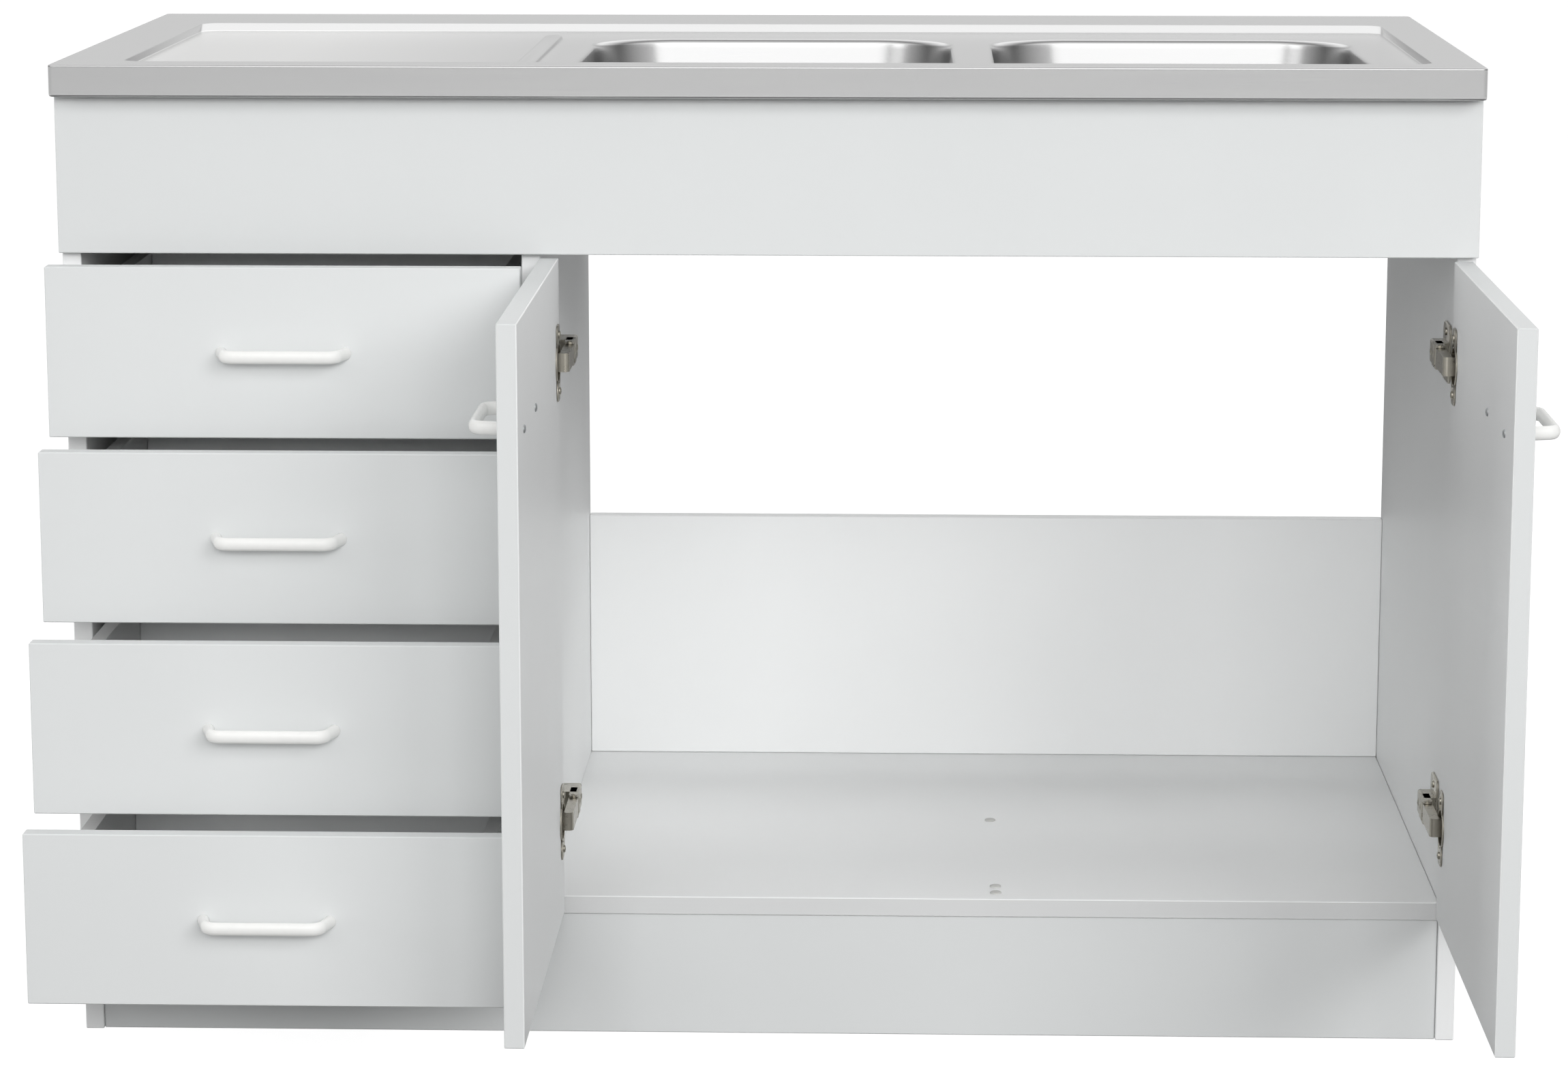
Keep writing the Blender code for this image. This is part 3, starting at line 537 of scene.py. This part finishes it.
throat_radius = 0.0210
tail_radius = 0.0255
tail_end = -0.023
thread_depth = 0.0008
thread_top = -0.0110
thread_step = 0.0010
thread = [(tail_radius - thread_depth * (step % 2), thread_top - thread_step * step) for step in range(12)]
flange_profile = [
    (throat_radius, tail_end), (throat_radius, -0.0050), (0.0218, -0.0028), (0.0250, -0.0006),
    (0.0310, 0.0014), (0.0338, 0.0026), (0.0352, 0.0024), (0.0360, 0.0013), (0.0360, 0.0003),
    (tail_radius, 0.0003), *thread, (tail_radius, tail_end), (throat_radius, tail_end)]
waste_fitting = start_piece("waste_fitting")
turn_wall(flange_profile, 48)
close_piece()

strainer_profile = [(0.0209, -0.0062), (0.0209, -0.0050), (0.0132, -0.0046), (0.0060, -0.0044)]
strainer_rings = ((12, 0.0165), (6, 0.0098))  # holes, and how far they are from the middle
strainer_hole = 0.0019
hole_foot = -0.010
hole_turn = 0.1  # share of a hole's spacing by which each ring is turned
strainer_screw_seat = -0.0045
strainer = start_piece("strainer")
turn_wall(strainer_profile, 48)
close_piece()
holes = start_piece("strainer_holes")
for count, ring_radius in strainer_rings:
    for step in range(count):
        bearing = 2 * math.pi * (step + hole_turn) / count
        hole_spot = (ring_radius * math.cos(bearing), ring_radius * math.sin(bearing))
        turn_wall([(strainer_hole, hole_foot), (strainer_hole, 0.0)], 14, hole_spot)
close_piece()
cut(strainer, holes)
strainer.data.materials.append(satin_steel)
waste_fitting.data.materials.append(satin_steel)
strainer_screw = copy_piece(screw, "strainer_screw", Matrix.Translation((0, 0, strainer_screw_seat)))
waste_fitting = join([waste_fitting, strainer, strainer_screw])

nut_profile = [
    (0.0280, -0.0014), (0.0345, -0.0014), (0.0355, -0.0024), (0.0355, -0.0090), (0.0345, -0.0100),
    (0.0280, -0.0100), (0.0280, -0.0014)]
nut_sides = 8
ring_nut = start_piece("ring_nut")
turn_wall(nut_profile, nut_sides)
close_piece(20)
polypropylene = moulded_plastic("moulded_white_polypropylene", "#DADAD6", "#E2E2DF", 0.35, 0.45)
ring_nut.data.materials.append(polypropylene)
for waste, seat in waste_seats.items():
    placing = Matrix.Translation(seat)
    fitting = copy_piece(waste_fitting, f"{waste}_fitting", placing)
    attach(fitting, "carcass")
    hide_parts(waste)
    nut = copy_piece(ring_nut, f"{waste}_nut", placing)
    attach(nut, "carcass")
bpy.data.objects.remove(waste_fitting)
bpy.data.objects.remove(ring_nut)


# Drawer boxes: folded sheet-steel sides with a white coat, and a bottom, back and front of white board.
# Steel runner rails are screwed to the carcass. A nylon roller turns at the front of each rail and at the
# back of each side.

# White powder coat on steel: a smooth half gloss with a fine orange peel.
# The peel is about 0.8 mm, drawn at 2 mm so that it shows.
peel_width = 0.002
coated_steel = empty_material("white_coated_steel")
place = add_node(coated_steel, "ShaderNodeTexCoord")
peel = add_node(coated_steel, "ShaderNodeTexNoise", {
    "Vector": (place, "Object"), "Scale": 1 / peel_width, "Detail": 1.0})
tone = add_node(coated_steel, "ShaderNodeMixRGB", {
    "Fac": (peel, "Fac"), "Color1": linear("#DCDDDD"), "Color2": linear("#E8E8E7")})
relief = add_node(coated_steel, "ShaderNodeBump", {
    "Height": (peel, "Fac"), "Strength": 0.12, "Distance": 0.0002})
surface = add_node(coated_steel, "ShaderNodeBsdfPrincipled", {
    "Base Color": (tone, "Color"), "Roughness": 0.36, "Normal": (relief, "Normal")})
add_node(coated_steel, "ShaderNodeOutputMaterial", {"Surface": (surface, "BSDF")})
for drawer in range(1, 5):
    for side in ("left_side", "right_side", "left_rail", "right_rail"):
        dress(f"drawer_{drawer}_{side}", coated_steel)
    dress(f"drawer_{drawer}_bottom", melamine_flat_painted_lighter)
    dress(f"drawer_{drawer}_back", melamine_inner_painted_lighter)
    dress(f"drawer_{drawer}_front", melamine_front)

roller_radius = 0.0068
roller_profile = [
    (0.0060, 0.0), (roller_radius, 0.0007), (roller_radius, 0.0052), (0.0060, 0.0059), (0.0030, 0.0059),
    (0.0028, 0.0066)]
roller_clear = 0.0002
rail_roller_off = 0.0004  # from the rail's leaf
rail_roller_in = 0.010  # from the rail's front end
side_roller_off = 0.0068  # from the side's lip to the roller's inner face
side_roller_in = 0.012  # from the side's rear end
rail_sheet = 0.0015
rail_screw_in = 0.045
rail_screw_up = 0.022
roller = start_piece("nylon_roller")
turn_wall(roller_profile, 28)
close_piece()
roller.data.materials.append(moulded_plastic("moulded_white_nylon", "#DFDED8", "#E6E5E0", 0.3, 0.4))
for drawer in range(1, 5):
    for side, inward in (("left", 1), ("right", -1)):
        # Screws and rollers are drawn standing up, and this turns them to face away from the carcass.
        facing = Matrix.Rotation(inward * math.pi / 2, 4, "Y")
        rail_low, rail_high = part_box(f"drawer_{drawer}_{side}_rail")
        leaf = rail_low.x if inward > 0 else rail_high.x
        leaf += inward * rail_sheet
        fixings = []
        for along in (rail_low.y + rail_screw_in, rail_high.y - rail_screw_in):
            placing = Matrix.Translation((leaf, along, rail_low.z + rail_screw_up)) @ facing
            fixings.append(copy_piece(screw, "rail_screw", placing))
        under_lip = rail_low.z + rail_sheet + roller_clear - roller_radius
        rail_roller_spot = (leaf + inward * rail_roller_off, rail_low.y + rail_roller_in, under_lip)
        placing = Matrix.Translation(rail_roller_spot) @ facing
        fixings.append(copy_piece(roller, "rail_roller", placing))
        fixing = join(fixings)
        fixing.name = fixing.data.name = f"drawer_{drawer}_{side}_rail_fixings"
        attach(fixing, "carcass")
        side_low, side_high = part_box(f"drawer_{drawer}_{side}_side")
        lip = side_low.x if inward > 0 else side_high.x
        on_rail = rail_low.z + rail_sheet + roller_radius
        side_roller_spot = (lip + inward * side_roller_off, side_high.y - side_roller_in, on_rail)
        placing = Matrix.Translation(side_roller_spot) @ facing @ Matrix.Rotation(math.pi, 4, "Y")
        runner = copy_piece(roller, f"drawer_{drawer}_{side}_roller", placing)
        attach(runner, f"drawer_{drawer}")
bpy.data.objects.remove(roller)


# Doors: the same 16 mm melamine board, with a plastic band on all four edges.
# The outer face is given the drawer fronts' tone and the inner face the carcass's lighter one: painted light
# and shade on one white board. The edge band is painted darker, as painted shade.
for door, outer_way in (("left_door", -1), ("right_door", 1)):
    dress(f"{door}_panel", melamine_board(
        f"white_melamine_{door}", "X", inside_white_painted_lighter, "#D8DADA", inside_cloud_painted_lighter, "#DDDFDF", outer_way))


# Bow handles: moulded white plastic, an oval bar that bends back to a flared foot at each end.
# Two screws hold each one, put through the front from behind.
handle_low, handle_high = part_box("drawer_1_handle")
half_length = (handle_high.x - handle_low.x) / 2
reach = handle_high.y - handle_low.y
half_height = (handle_high.z - handle_low.z) / 2
half_grip = 0.004
bend = 0.010
leg_turn = math.radians(76)
foot_room = 1.25  # half of the foot, in half thicknesses of the leg where it meets the front
foot_flare = 1.3
plain_leg = 0.55  # share of the leg that isn't flared
flared_leg = 0.60  # the rest, and a little more that the front cuts off
leg_rise = reach - half_grip - bend * (1 - math.cos(leg_turn))
foot_half = half_grip / math.sin(leg_turn) * foot_room
foot_spread = half_length - foot_half
grip_end = half_length - foot_half - leg_rise / math.tan(leg_turn) - bend * math.sin(leg_turn)
grip_y = half_grip - reach

bpy.ops.mesh.primitive_circle_add(
    vertices=24, radius=1, fill_type="NGON", location=(0, grip_y, 0), rotation=(0, math.pi / 2, 0))
bow = bpy.context.object
bpy.ops.object.transform_apply(location=True, rotation=True, scale=True)
bpy.ops.object.mode_set(mode="EDIT")
bpy.ops.mesh.select_all(action="SELECT")
bpy.ops.transform.resize(value=(1, half_grip, half_height), center_override=(0, grip_y, 0))
bpy.ops.mesh.extrude_region_move(TRANSFORM_OT_translate={"value": (grip_end, 0, 0)})
bpy.ops.mesh.spin(steps=10, angle=-leg_turn, center=(grip_end, grip_y + bend, 0), axis=(0, 0, 1))
leg = leg_rise / math.sin(leg_turn)
leg_way = (math.cos(leg_turn), math.sin(leg_turn), 0)
for share in (plain_leg, flared_leg):
    bpy.ops.mesh.extrude_region_move(TRANSFORM_OT_translate={"value": [leg * share * way for way in leg_way]})
bpy.ops.transform.resize(value=(foot_flare, foot_flare, 1.0), center_override=(foot_spread, 0, 0))
bpy.ops.mesh.select_all(action="SELECT")
bpy.ops.mesh.bisect(plane_co=(0, 0, 0), plane_no=(0, 1, 0), use_fill=True, clear_outer=True)
mesh = bmesh.from_edit_mesh(bow.data)
for face in mesh.faces:
    face.select_set(abs(face.calc_center_median().x) < weld)
bmesh.update_edit_mesh(bow.data)
bpy.ops.mesh.select_mode(type="FACE")
bpy.ops.mesh.delete(type="ONLY_FACE")
bpy.ops.object.mode_set(mode="OBJECT")
bow.modifiers.new("other_half", "MIRROR").use_clip = True
bpy.ops.object.modifier_apply(modifier="other_half")
bpy.ops.object.mode_set(mode="EDIT")
bpy.ops.mesh.select_all(action="SELECT")
bpy.ops.mesh.remove_doubles(threshold=weld)
bpy.ops.mesh.normals_make_consistent(inside=False)
bpy.ops.object.mode_set(mode="OBJECT")
shade_round(45)

bow.data.materials.append(moulded_plastic("moulded_white_abs", "#EAEAE8", "#F0F0EE", 0.20, 0.28))
handle_turns = {"drawer_1": 0, "drawer_2": 0, "drawer_3": 0, "drawer_4": 0,
                "left_door": -math.pi / 2, "right_door": math.pi / 2}
for owner, turn in handle_turns.items():
    low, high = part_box(f"{owner}_handle")
    seat = (low + high) / 2 + Matrix.Rotation(turn, 3, "Z") @ Vector((0, reach / 2, 0))
    placing = Matrix.Translation(seat) @ Matrix.Rotation(turn, 4, "Z")
    handle = copy_piece(bow, f"{owner}_bow_handle", placing)
    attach(handle, owner)
    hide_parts(f"{owner}_handle")
    panel = f"{owner}_panel" if "door" in owner else f"{owner}_front"
    board_thickness = min(high - low for low, high in zip(*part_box(panel)))
    heads = []
    for way in (-1, 1):
        behind = placing @ Matrix.Translation((way * foot_spread, board_thickness, 0))
        heads.append(copy_piece(screw, "handle_screw", behind @ Matrix.Rotation(-math.pi / 2, 4, "X")))
    heads = join(heads)
    heads.name = heads.data.name = f"{owner}_handle_screws"
    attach(heads, owner)
bpy.data.objects.remove(bow)


# Concealed hinges: pressed steel with a nickel plate, made of a cup let into the door, a link and an arm.
# Screws hold the cup's flange to the door and the arm's plate to the carcass, and a rivet is the arm's pin.

# Nickel plate: a warm grey metal, half bright, with soft clouds about 6 mm wide.
plating_cloud = 0.006
nickel = empty_material("nickel_plated_steel")
place = add_node(nickel, "ShaderNodeTexCoord")
cloud = add_node(nickel, "ShaderNodeTexNoise", {
    "Vector": (place, "Object"), "Scale": 1 / plating_cloud, "Detail": 3.0})
tone = add_node(nickel, "ShaderNodeMixRGB", {
    "Fac": (cloud, "Fac"), "Color1": linear("#A39E92"), "Color2": linear("#BDB9AE")})
gloss = add_node(nickel, "ShaderNodeMapRange", {"Value": (cloud, "Fac"), "To Min": 0.22, "To Max": 0.36})
surface = add_node(nickel, "ShaderNodeBsdfPrincipled", {
    "Base Color": (tone, "Color"), "Metallic": 1.0, "Roughness": (gloss, "Result")})
add_node(nickel, "ShaderNodeOutputMaterial", {"Surface": (surface, "BSDF")})
plated_screw_size = 0.94
plated_screw = copy_piece(screw, "plated_screw", Matrix.Scale(plated_screw_size, 4))
plated_screw.data.materials[0] = nickel

# Each hinge piece is drawn flat: across its board, up, and out of the board. The door's turn sets it upright.
door_turns = {"left_door": Matrix(((0, 0, 1, 0), (1, 0, 0, 0), (0, 1, 0, 0), (0, 0, 0, 1))),
              "right_door": Matrix(((0, 0, -1, 0), (1, 0, 0, 0), (0, -1, 0, 0), (0, 0, 0, 1)))}

flange_width = (-0.011, 0.011)
flange_height = (-0.0325, 0.0325)
flange_corner = 0.006
flange_foot = 0.0003
flange_top = 0.0015
flange_edge = (
    (0.0002, flange_foot), (0, flange_foot + 0.0002), (0, flange_top - 0.0004), (0.0004, flange_top))
flange_screw_up = 0.024
cup_mouth = 0.0168
mouth_cut = [(cup_mouth, -0.001), (cup_mouth, 0.003)]  # from under the flange to above it
cup_profile = [
    (0.0040, -0.0112), (0.0168, -0.0112), (0.0172, -0.0108), (0.0172, flange_foot), (0.0178, flange_foot),
    (0.0178, flange_top - 0.0003), (0.0174, flange_top), (0.0160, flange_top),
    (0.0156, flange_top - 0.0004), (0.0154, -0.0090), (0.0144, -0.0099), (0.0040, -0.0099)]
flange = start_piece("hinge_flange")
press([(inset(flange_width, run), inset(flange_height, run), height) for run, height in flange_edge],
      flange_corner)
close_piece()
mouth_cutter = start_piece("mouth_cutter")
turn_wall(mouth_cut, 40)
close_piece()
cut(flange, mouth_cutter)
flange.data.materials.append(nickel)
bowl_cup = start_piece("hinge_bowl")
turn_wall(cup_profile, 40)
close_piece()
bowl_cup.data.materials.append(nickel)
flange_screws = []
for way in (-1, 1):
    placing = Matrix.Translation((0, way * flange_screw_up, flange_top))
    flange_screws.append(copy_piece(plated_screw, "flange_screw", placing))
cup = join([flange, bowl_cup, *flange_screws])


def rounded_block(middle, size, picks, rounding, steps):
    """A block with rounded edges: picks is asked about each edge, with the places of its two ends."""
    bpy.ops.mesh.primitive_cube_add(size=1, location=middle)
    block = bpy.context.object
    block.scale = size
    bpy.ops.object.transform_apply(location=True, rotation=True, scale=True)
    bpy.ops.object.mode_set(mode="EDIT")
    bpy.ops.mesh.select_all(action="DESELECT")
    mesh = bmesh.from_edit_mesh(block.data)
    for edge in mesh.edges:
        edge.select_set(picks(*[vert.co for vert in edge.verts]))
    bmesh.update_edit_mesh(block.data)
    bpy.ops.mesh.bevel(offset=rounding, segments=steps, affect="EDGES")
    bpy.ops.object.mode_set(mode="OBJECT")
    shade_round()
    return block


carcass_faces = {"left_door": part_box("middle_partition")[1].x,
                 "right_door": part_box("right_side_panel")[0].x}
same_place = 1e-5
half_link = 0.004
plate_length = 0.044
plate_height = (-0.025, 0.025)
plate_corner = 0.007
plate_edge = ((0, 0.0003), (0, 0.0018), (0.0005, 0.0023))
body_foot = 0.001
body_front = 0.042  # this and the next lengths run forward from the plate's rear end
body_rear = 0.008
cheek_rear = 0.026
plate_screw_along = 0.022
arm_screws_along = (0.033, 0.017)
body_round = 0.0022
cheek_low = 0.0083
cheek_high = 0.0103
cheek_round = 0.95  # in half widths of the link
rivet_profile = [(0.0016, -0.0109), (0.0021, -0.0106), (0.0021, 0.0106), (0.0016, 0.0109)]
plate_screw_up = 0.0180
plate_screw_seat = 0.0022
arm_screw_sunk = 0.0010
for door, door_turn in door_turns.items():
    panel_low, panel_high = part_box(f"{door}_panel")
    door_face = panel_high.x if door == "left_door" else panel_low.x
    arm_low, arm_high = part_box(f"{door}_upper_hinge_arm")
    front, back = arm_low.y, arm_high.y
    top = max(abs(arm_low.x - carcass_faces[door]), abs(arm_high.x - carcass_faces[door]))

    plate = start_piece("arm_plate")
    plate_span = (back - plate_length, back)
    press([(inset(plate_span, run), inset(plate_height, run), height) for run, height in plate_edge],
          plate_corner)
    close_piece()
    body_span = (back - body_front, back - body_rear)
    body = rounded_block(
        (sum(body_span) / 2, 0, (body_foot + top) / 2),
        (body_span[1] - body_span[0], 2 * cheek_high, top - body_foot),
        lambda one, other: (min(one.z, other.z) > top - same_place
                            or min(one.x, other.x) > body_span[1] - same_place),
        body_round, 3)
    cheek_span = (front, back - cheek_rear)
    cheeks = []
    for way in (-1, 1):
        cheeks.append(rounded_block(
            (sum(cheek_span) / 2, way * (cheek_low + cheek_high) / 2, top - half_link),
            (cheek_span[1] - cheek_span[0], cheek_high - cheek_low, 2 * half_link),
            lambda one, other: (max(one.x, other.x) < front + same_place
                                and abs(one.y - other.y) > same_place),
            half_link * cheek_round, 6))
    rivet = start_piece("arm_rivet")
    turn_wall(rivet_profile, 16)
    close_piece()
    pin = Matrix.Translation((front + half_link, 0, top - half_link))
    rivet.data.transform(pin @ Matrix.Rotation(math.pi / 2, 4, "X"))
    for piece in (plate, body, rivet, *cheeks):
        piece.data.materials.append(nickel)
    head_spots = [(back - plate_screw_along, way * plate_screw_up, plate_screw_seat) for way in (1, -1)]
    head_spots += [(back - along, 0, top - arm_screw_sunk) for along in arm_screws_along]
    heads = [copy_piece(plated_screw, "arm_screw", Matrix.Translation(spot)) for spot in head_spots]
    arm = join([plate, body, rivet, *cheeks, *heads])

    for hinge in ("upper_hinge", "lower_hinge"):
        dress(f"{door}_{hinge}_link", nickel)
        low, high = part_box(f"{door}_{hinge}_cup")
        middle = (low + high) / 2
        placing = Matrix.Translation((door_face, middle.y, middle.z)) @ door_turn
        door_cup = copy_piece(cup, f"{door}_{hinge}_pressed_cup", placing)
        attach(door_cup, door)
        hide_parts(f"{door}_{hinge}_cup")
        placing = Matrix.Translation((carcass_faces[door], 0, middle.z)) @ door_turn
        door_arm = copy_piece(arm, f"{door}_{hinge}_riveted_arm", placing)
        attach(door_arm, "carcass")
        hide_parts(f"{door}_{hinge}_arm")
    bpy.data.objects.remove(arm)
bpy.data.objects.remove(cup)
bpy.data.objects.remove(plated_screw)
bpy.data.objects.remove(screw)


# Studio: a pale floor that runs out of sight and a white backdrop. A large soft key light stands high on
# the right, a fill on the left, and a wide panel and a card in front. Weaker lights overhead, behind and at
# both sides fill the shadows. Of these lights the steel mirrors only the left fill and the panel.
floor_size = 80
floor_drop = 0.0005
bpy.ops.mesh.primitive_plane_add(size=floor_size, location=(0, 0, -floor_drop))
floor = bpy.context.object
floor.name = "studio_floor"

# Matt grey card: it throws little light up at the cabinet, and glows white to the camera and, away from the
# cabinet, in the steel.
shade_ends = 1.0
glow_starts = 3.0
mirrored_glow = 0.8
floor_glow = 0.9
pale_floor = empty_material("pale_floor")
ray = add_node(pale_floor, "ShaderNodeLightPath")
place = add_node(pale_floor, "ShaderNodeTexCoord")
spot = add_node(pale_floor, "ShaderNodeSeparateXYZ", {"Vector": (place, "Object")})
aside = add_node(pale_floor, "ShaderNodeMath", {0: (spot, "X")}, operation="ABSOLUTE")
ahead = add_node(pale_floor, "ShaderNodeMath", {0: (spot, "Y"), 1: -1.0}, operation="MULTIPLY")
away = add_node(pale_floor, "ShaderNodeMath", {
    0: (aside, "Value"), 1: (ahead, "Value")}, operation="MAXIMUM")
open_floor = add_node(pale_floor, "ShaderNodeMapRange", {
    "Value": (away, "Value"), "From Min": shade_ends, "From Max": glow_starts,
    "To Min": 0.0, "To Max": mirrored_glow})
mirrored = add_node(pale_floor, "ShaderNodeMath", {
    0: (ray, "Is Glossy Ray"), 1: (open_floor, "Result")}, operation="MULTIPLY")
seen = add_node(pale_floor, "ShaderNodeMath", {
    0: (ray, "Is Camera Ray"), 1: (mirrored, "Value")}, operation="MAXIMUM")
glow = add_node(pale_floor, "ShaderNodeMath", {0: (seen, "Value"), 1: floor_glow}, operation="MULTIPLY")
surface = add_node(pale_floor, "ShaderNodeBsdfPrincipled", {
    "Base Color": linear("#8C8C8C"), "Roughness": 0.9, "Emission Color": linear("#FFFFFF"),
    "Emission Strength": (glow, "Value")})
add_node(pale_floor, "ShaderNodeOutputMaterial", {"Surface": (surface, "BSDF")})
floor.data.materials.append(pale_floor)


def soft_light(name, place, target, width, height, power, mirrored=True):
    """A flat soft light that faces a point. One that isn't mirrored doesn't show in the steel."""
    bpy.ops.object.light_add(type="AREA", location=place)
    light = bpy.context.object
    light.name = name
    light.rotation_euler = (Vector(target) - Vector(place)).to_track_quat("-Z", "Y").to_euler()
    light.data.shape = "RECTANGLE"
    light.data.size = width
    light.data.size_y = height
    light.data.energy = power
    light.visible_glossy = mirrored


soft_light("overhead_light", (0, 0.2, 3.6), (0, 0.2, 0), 3.0, 2.0, 28, mirrored=False)
soft_light("right_key_light", (4.3, -6.6, 3.7), (0, 0, 0.4), 3.6, 3.0, 216, mirrored=False)
soft_light("left_fill_light", (-4.93, -6.3, 4.0), (0, 0, 0.4), 3.0, 2.4, 32)
soft_light("front_panel", (0.4, -5.6, 2.8), (0.2, 0, 0.8), 4.6, 3.0, 50)
soft_light("front_card", (0.2, -5.5, 2.0), (0, 0, 0.5), 2.4, 1.0, 118, mirrored=False)
soft_light("back_fill", (0.8, 3.2, 4.0), (0, 0.2, 0.3), 3.0, 2.0, 50, mirrored=False)
soft_light("right_side_fill", (4.8, 0.3, 0.8), (0.6, 0.1, 0.4), 1.2, 1.2, 36, mirrored=False)
soft_light("left_side_fill", (-4.8, -0.3, 0.9), (-0.4, 0, 0.4), 1.8, 1.6, 62, mirrored=False)

# The air is white to the camera and dim to the boards. The steel sees it in bands, dark at the sides of the
# room and low down, and bright in front, behind and overhead.
board_air = 0.25
side_air = 0.25
end_air = 1.5
end_from = 0.8
low_band = 0.03
low_level = 0.12
higher_bands = ((0.10, 0.65), (0.14, 0.65), (0.20, 0.42), (0.30, 0.42), (0.45, 1.0))
world = bpy.data.worlds.new("studio_air")
bpy.context.scene.world = world
world.use_nodes = True
world.node_tree.nodes.clear()
air = add_node(world, "ShaderNodeTexCoord")
way = add_node(world, "ShaderNodeSeparateXYZ", {"Vector": (air, "Generated")})
depth = add_node(world, "ShaderNodeMath", {0: (way, "Y")}, operation="ABSOLUTE")
ends = add_node(world, "ShaderNodeMapRange", {
    "Value": (depth, "Value"), "From Min": 0.0, "From Max": end_from, "To Min": side_air, "To Max": end_air})
rising = add_node(world, "ShaderNodeValToRGB", {"Fac": (way, "Z")})
bands = rising.color_ramp.elements
bands.remove(bands[1])
bands[0].position = low_band
bands[0].color = (low_level, low_level, low_level, 1)
for height, level in higher_bands:
    bands.new(height).color = (level, level, level, 1)
sheen = add_node(world, "ShaderNodeMath", {0: (ends, "Result"), 1: (rising, "Color")}, operation="MULTIPLY")
ray = add_node(world, "ShaderNodeLightPath")
shiny = add_node(world, "ShaderNodeMix", {0: (ray, "Is Glossy Ray"), 2: board_air, 3: (sheen, "Value")})
bright = add_node(world, "ShaderNodeMath", {0: (shiny, 0), 1: (ray, "Is Camera Ray")}, operation="MAXIMUM")
backdrop = add_node(world, "ShaderNodeBackground", {
    "Color": linear("#FFFFFF"), "Strength": (bright, "Value")})
add_node(world, "ShaderNodeOutputWorld", {"Surface": (backdrop, "Background")})
bpy.context.scene.view_settings.view_transform = "Standard"

# The camera stands a little right of the middle and looks slightly down.
camera_place = (0.1271, -3.7268, 1.1551)
camera_down = math.radians(10.862)
camera_left = math.radians(1.725)
camera_data = bpy.data.cameras.new("photo_camera")
camera_data.lens = 101.25
camera_data.sensor_width = 36
camera_data.clip_end = 200
camera = bpy.data.objects.new("photo_camera", camera_data)
camera.location = camera_place
camera.rotation_euler = (math.pi / 2 - camera_down, 0, camera_left)
bpy.context.scene.collection.objects.link(camera)
bpy.context.scene.camera = camera
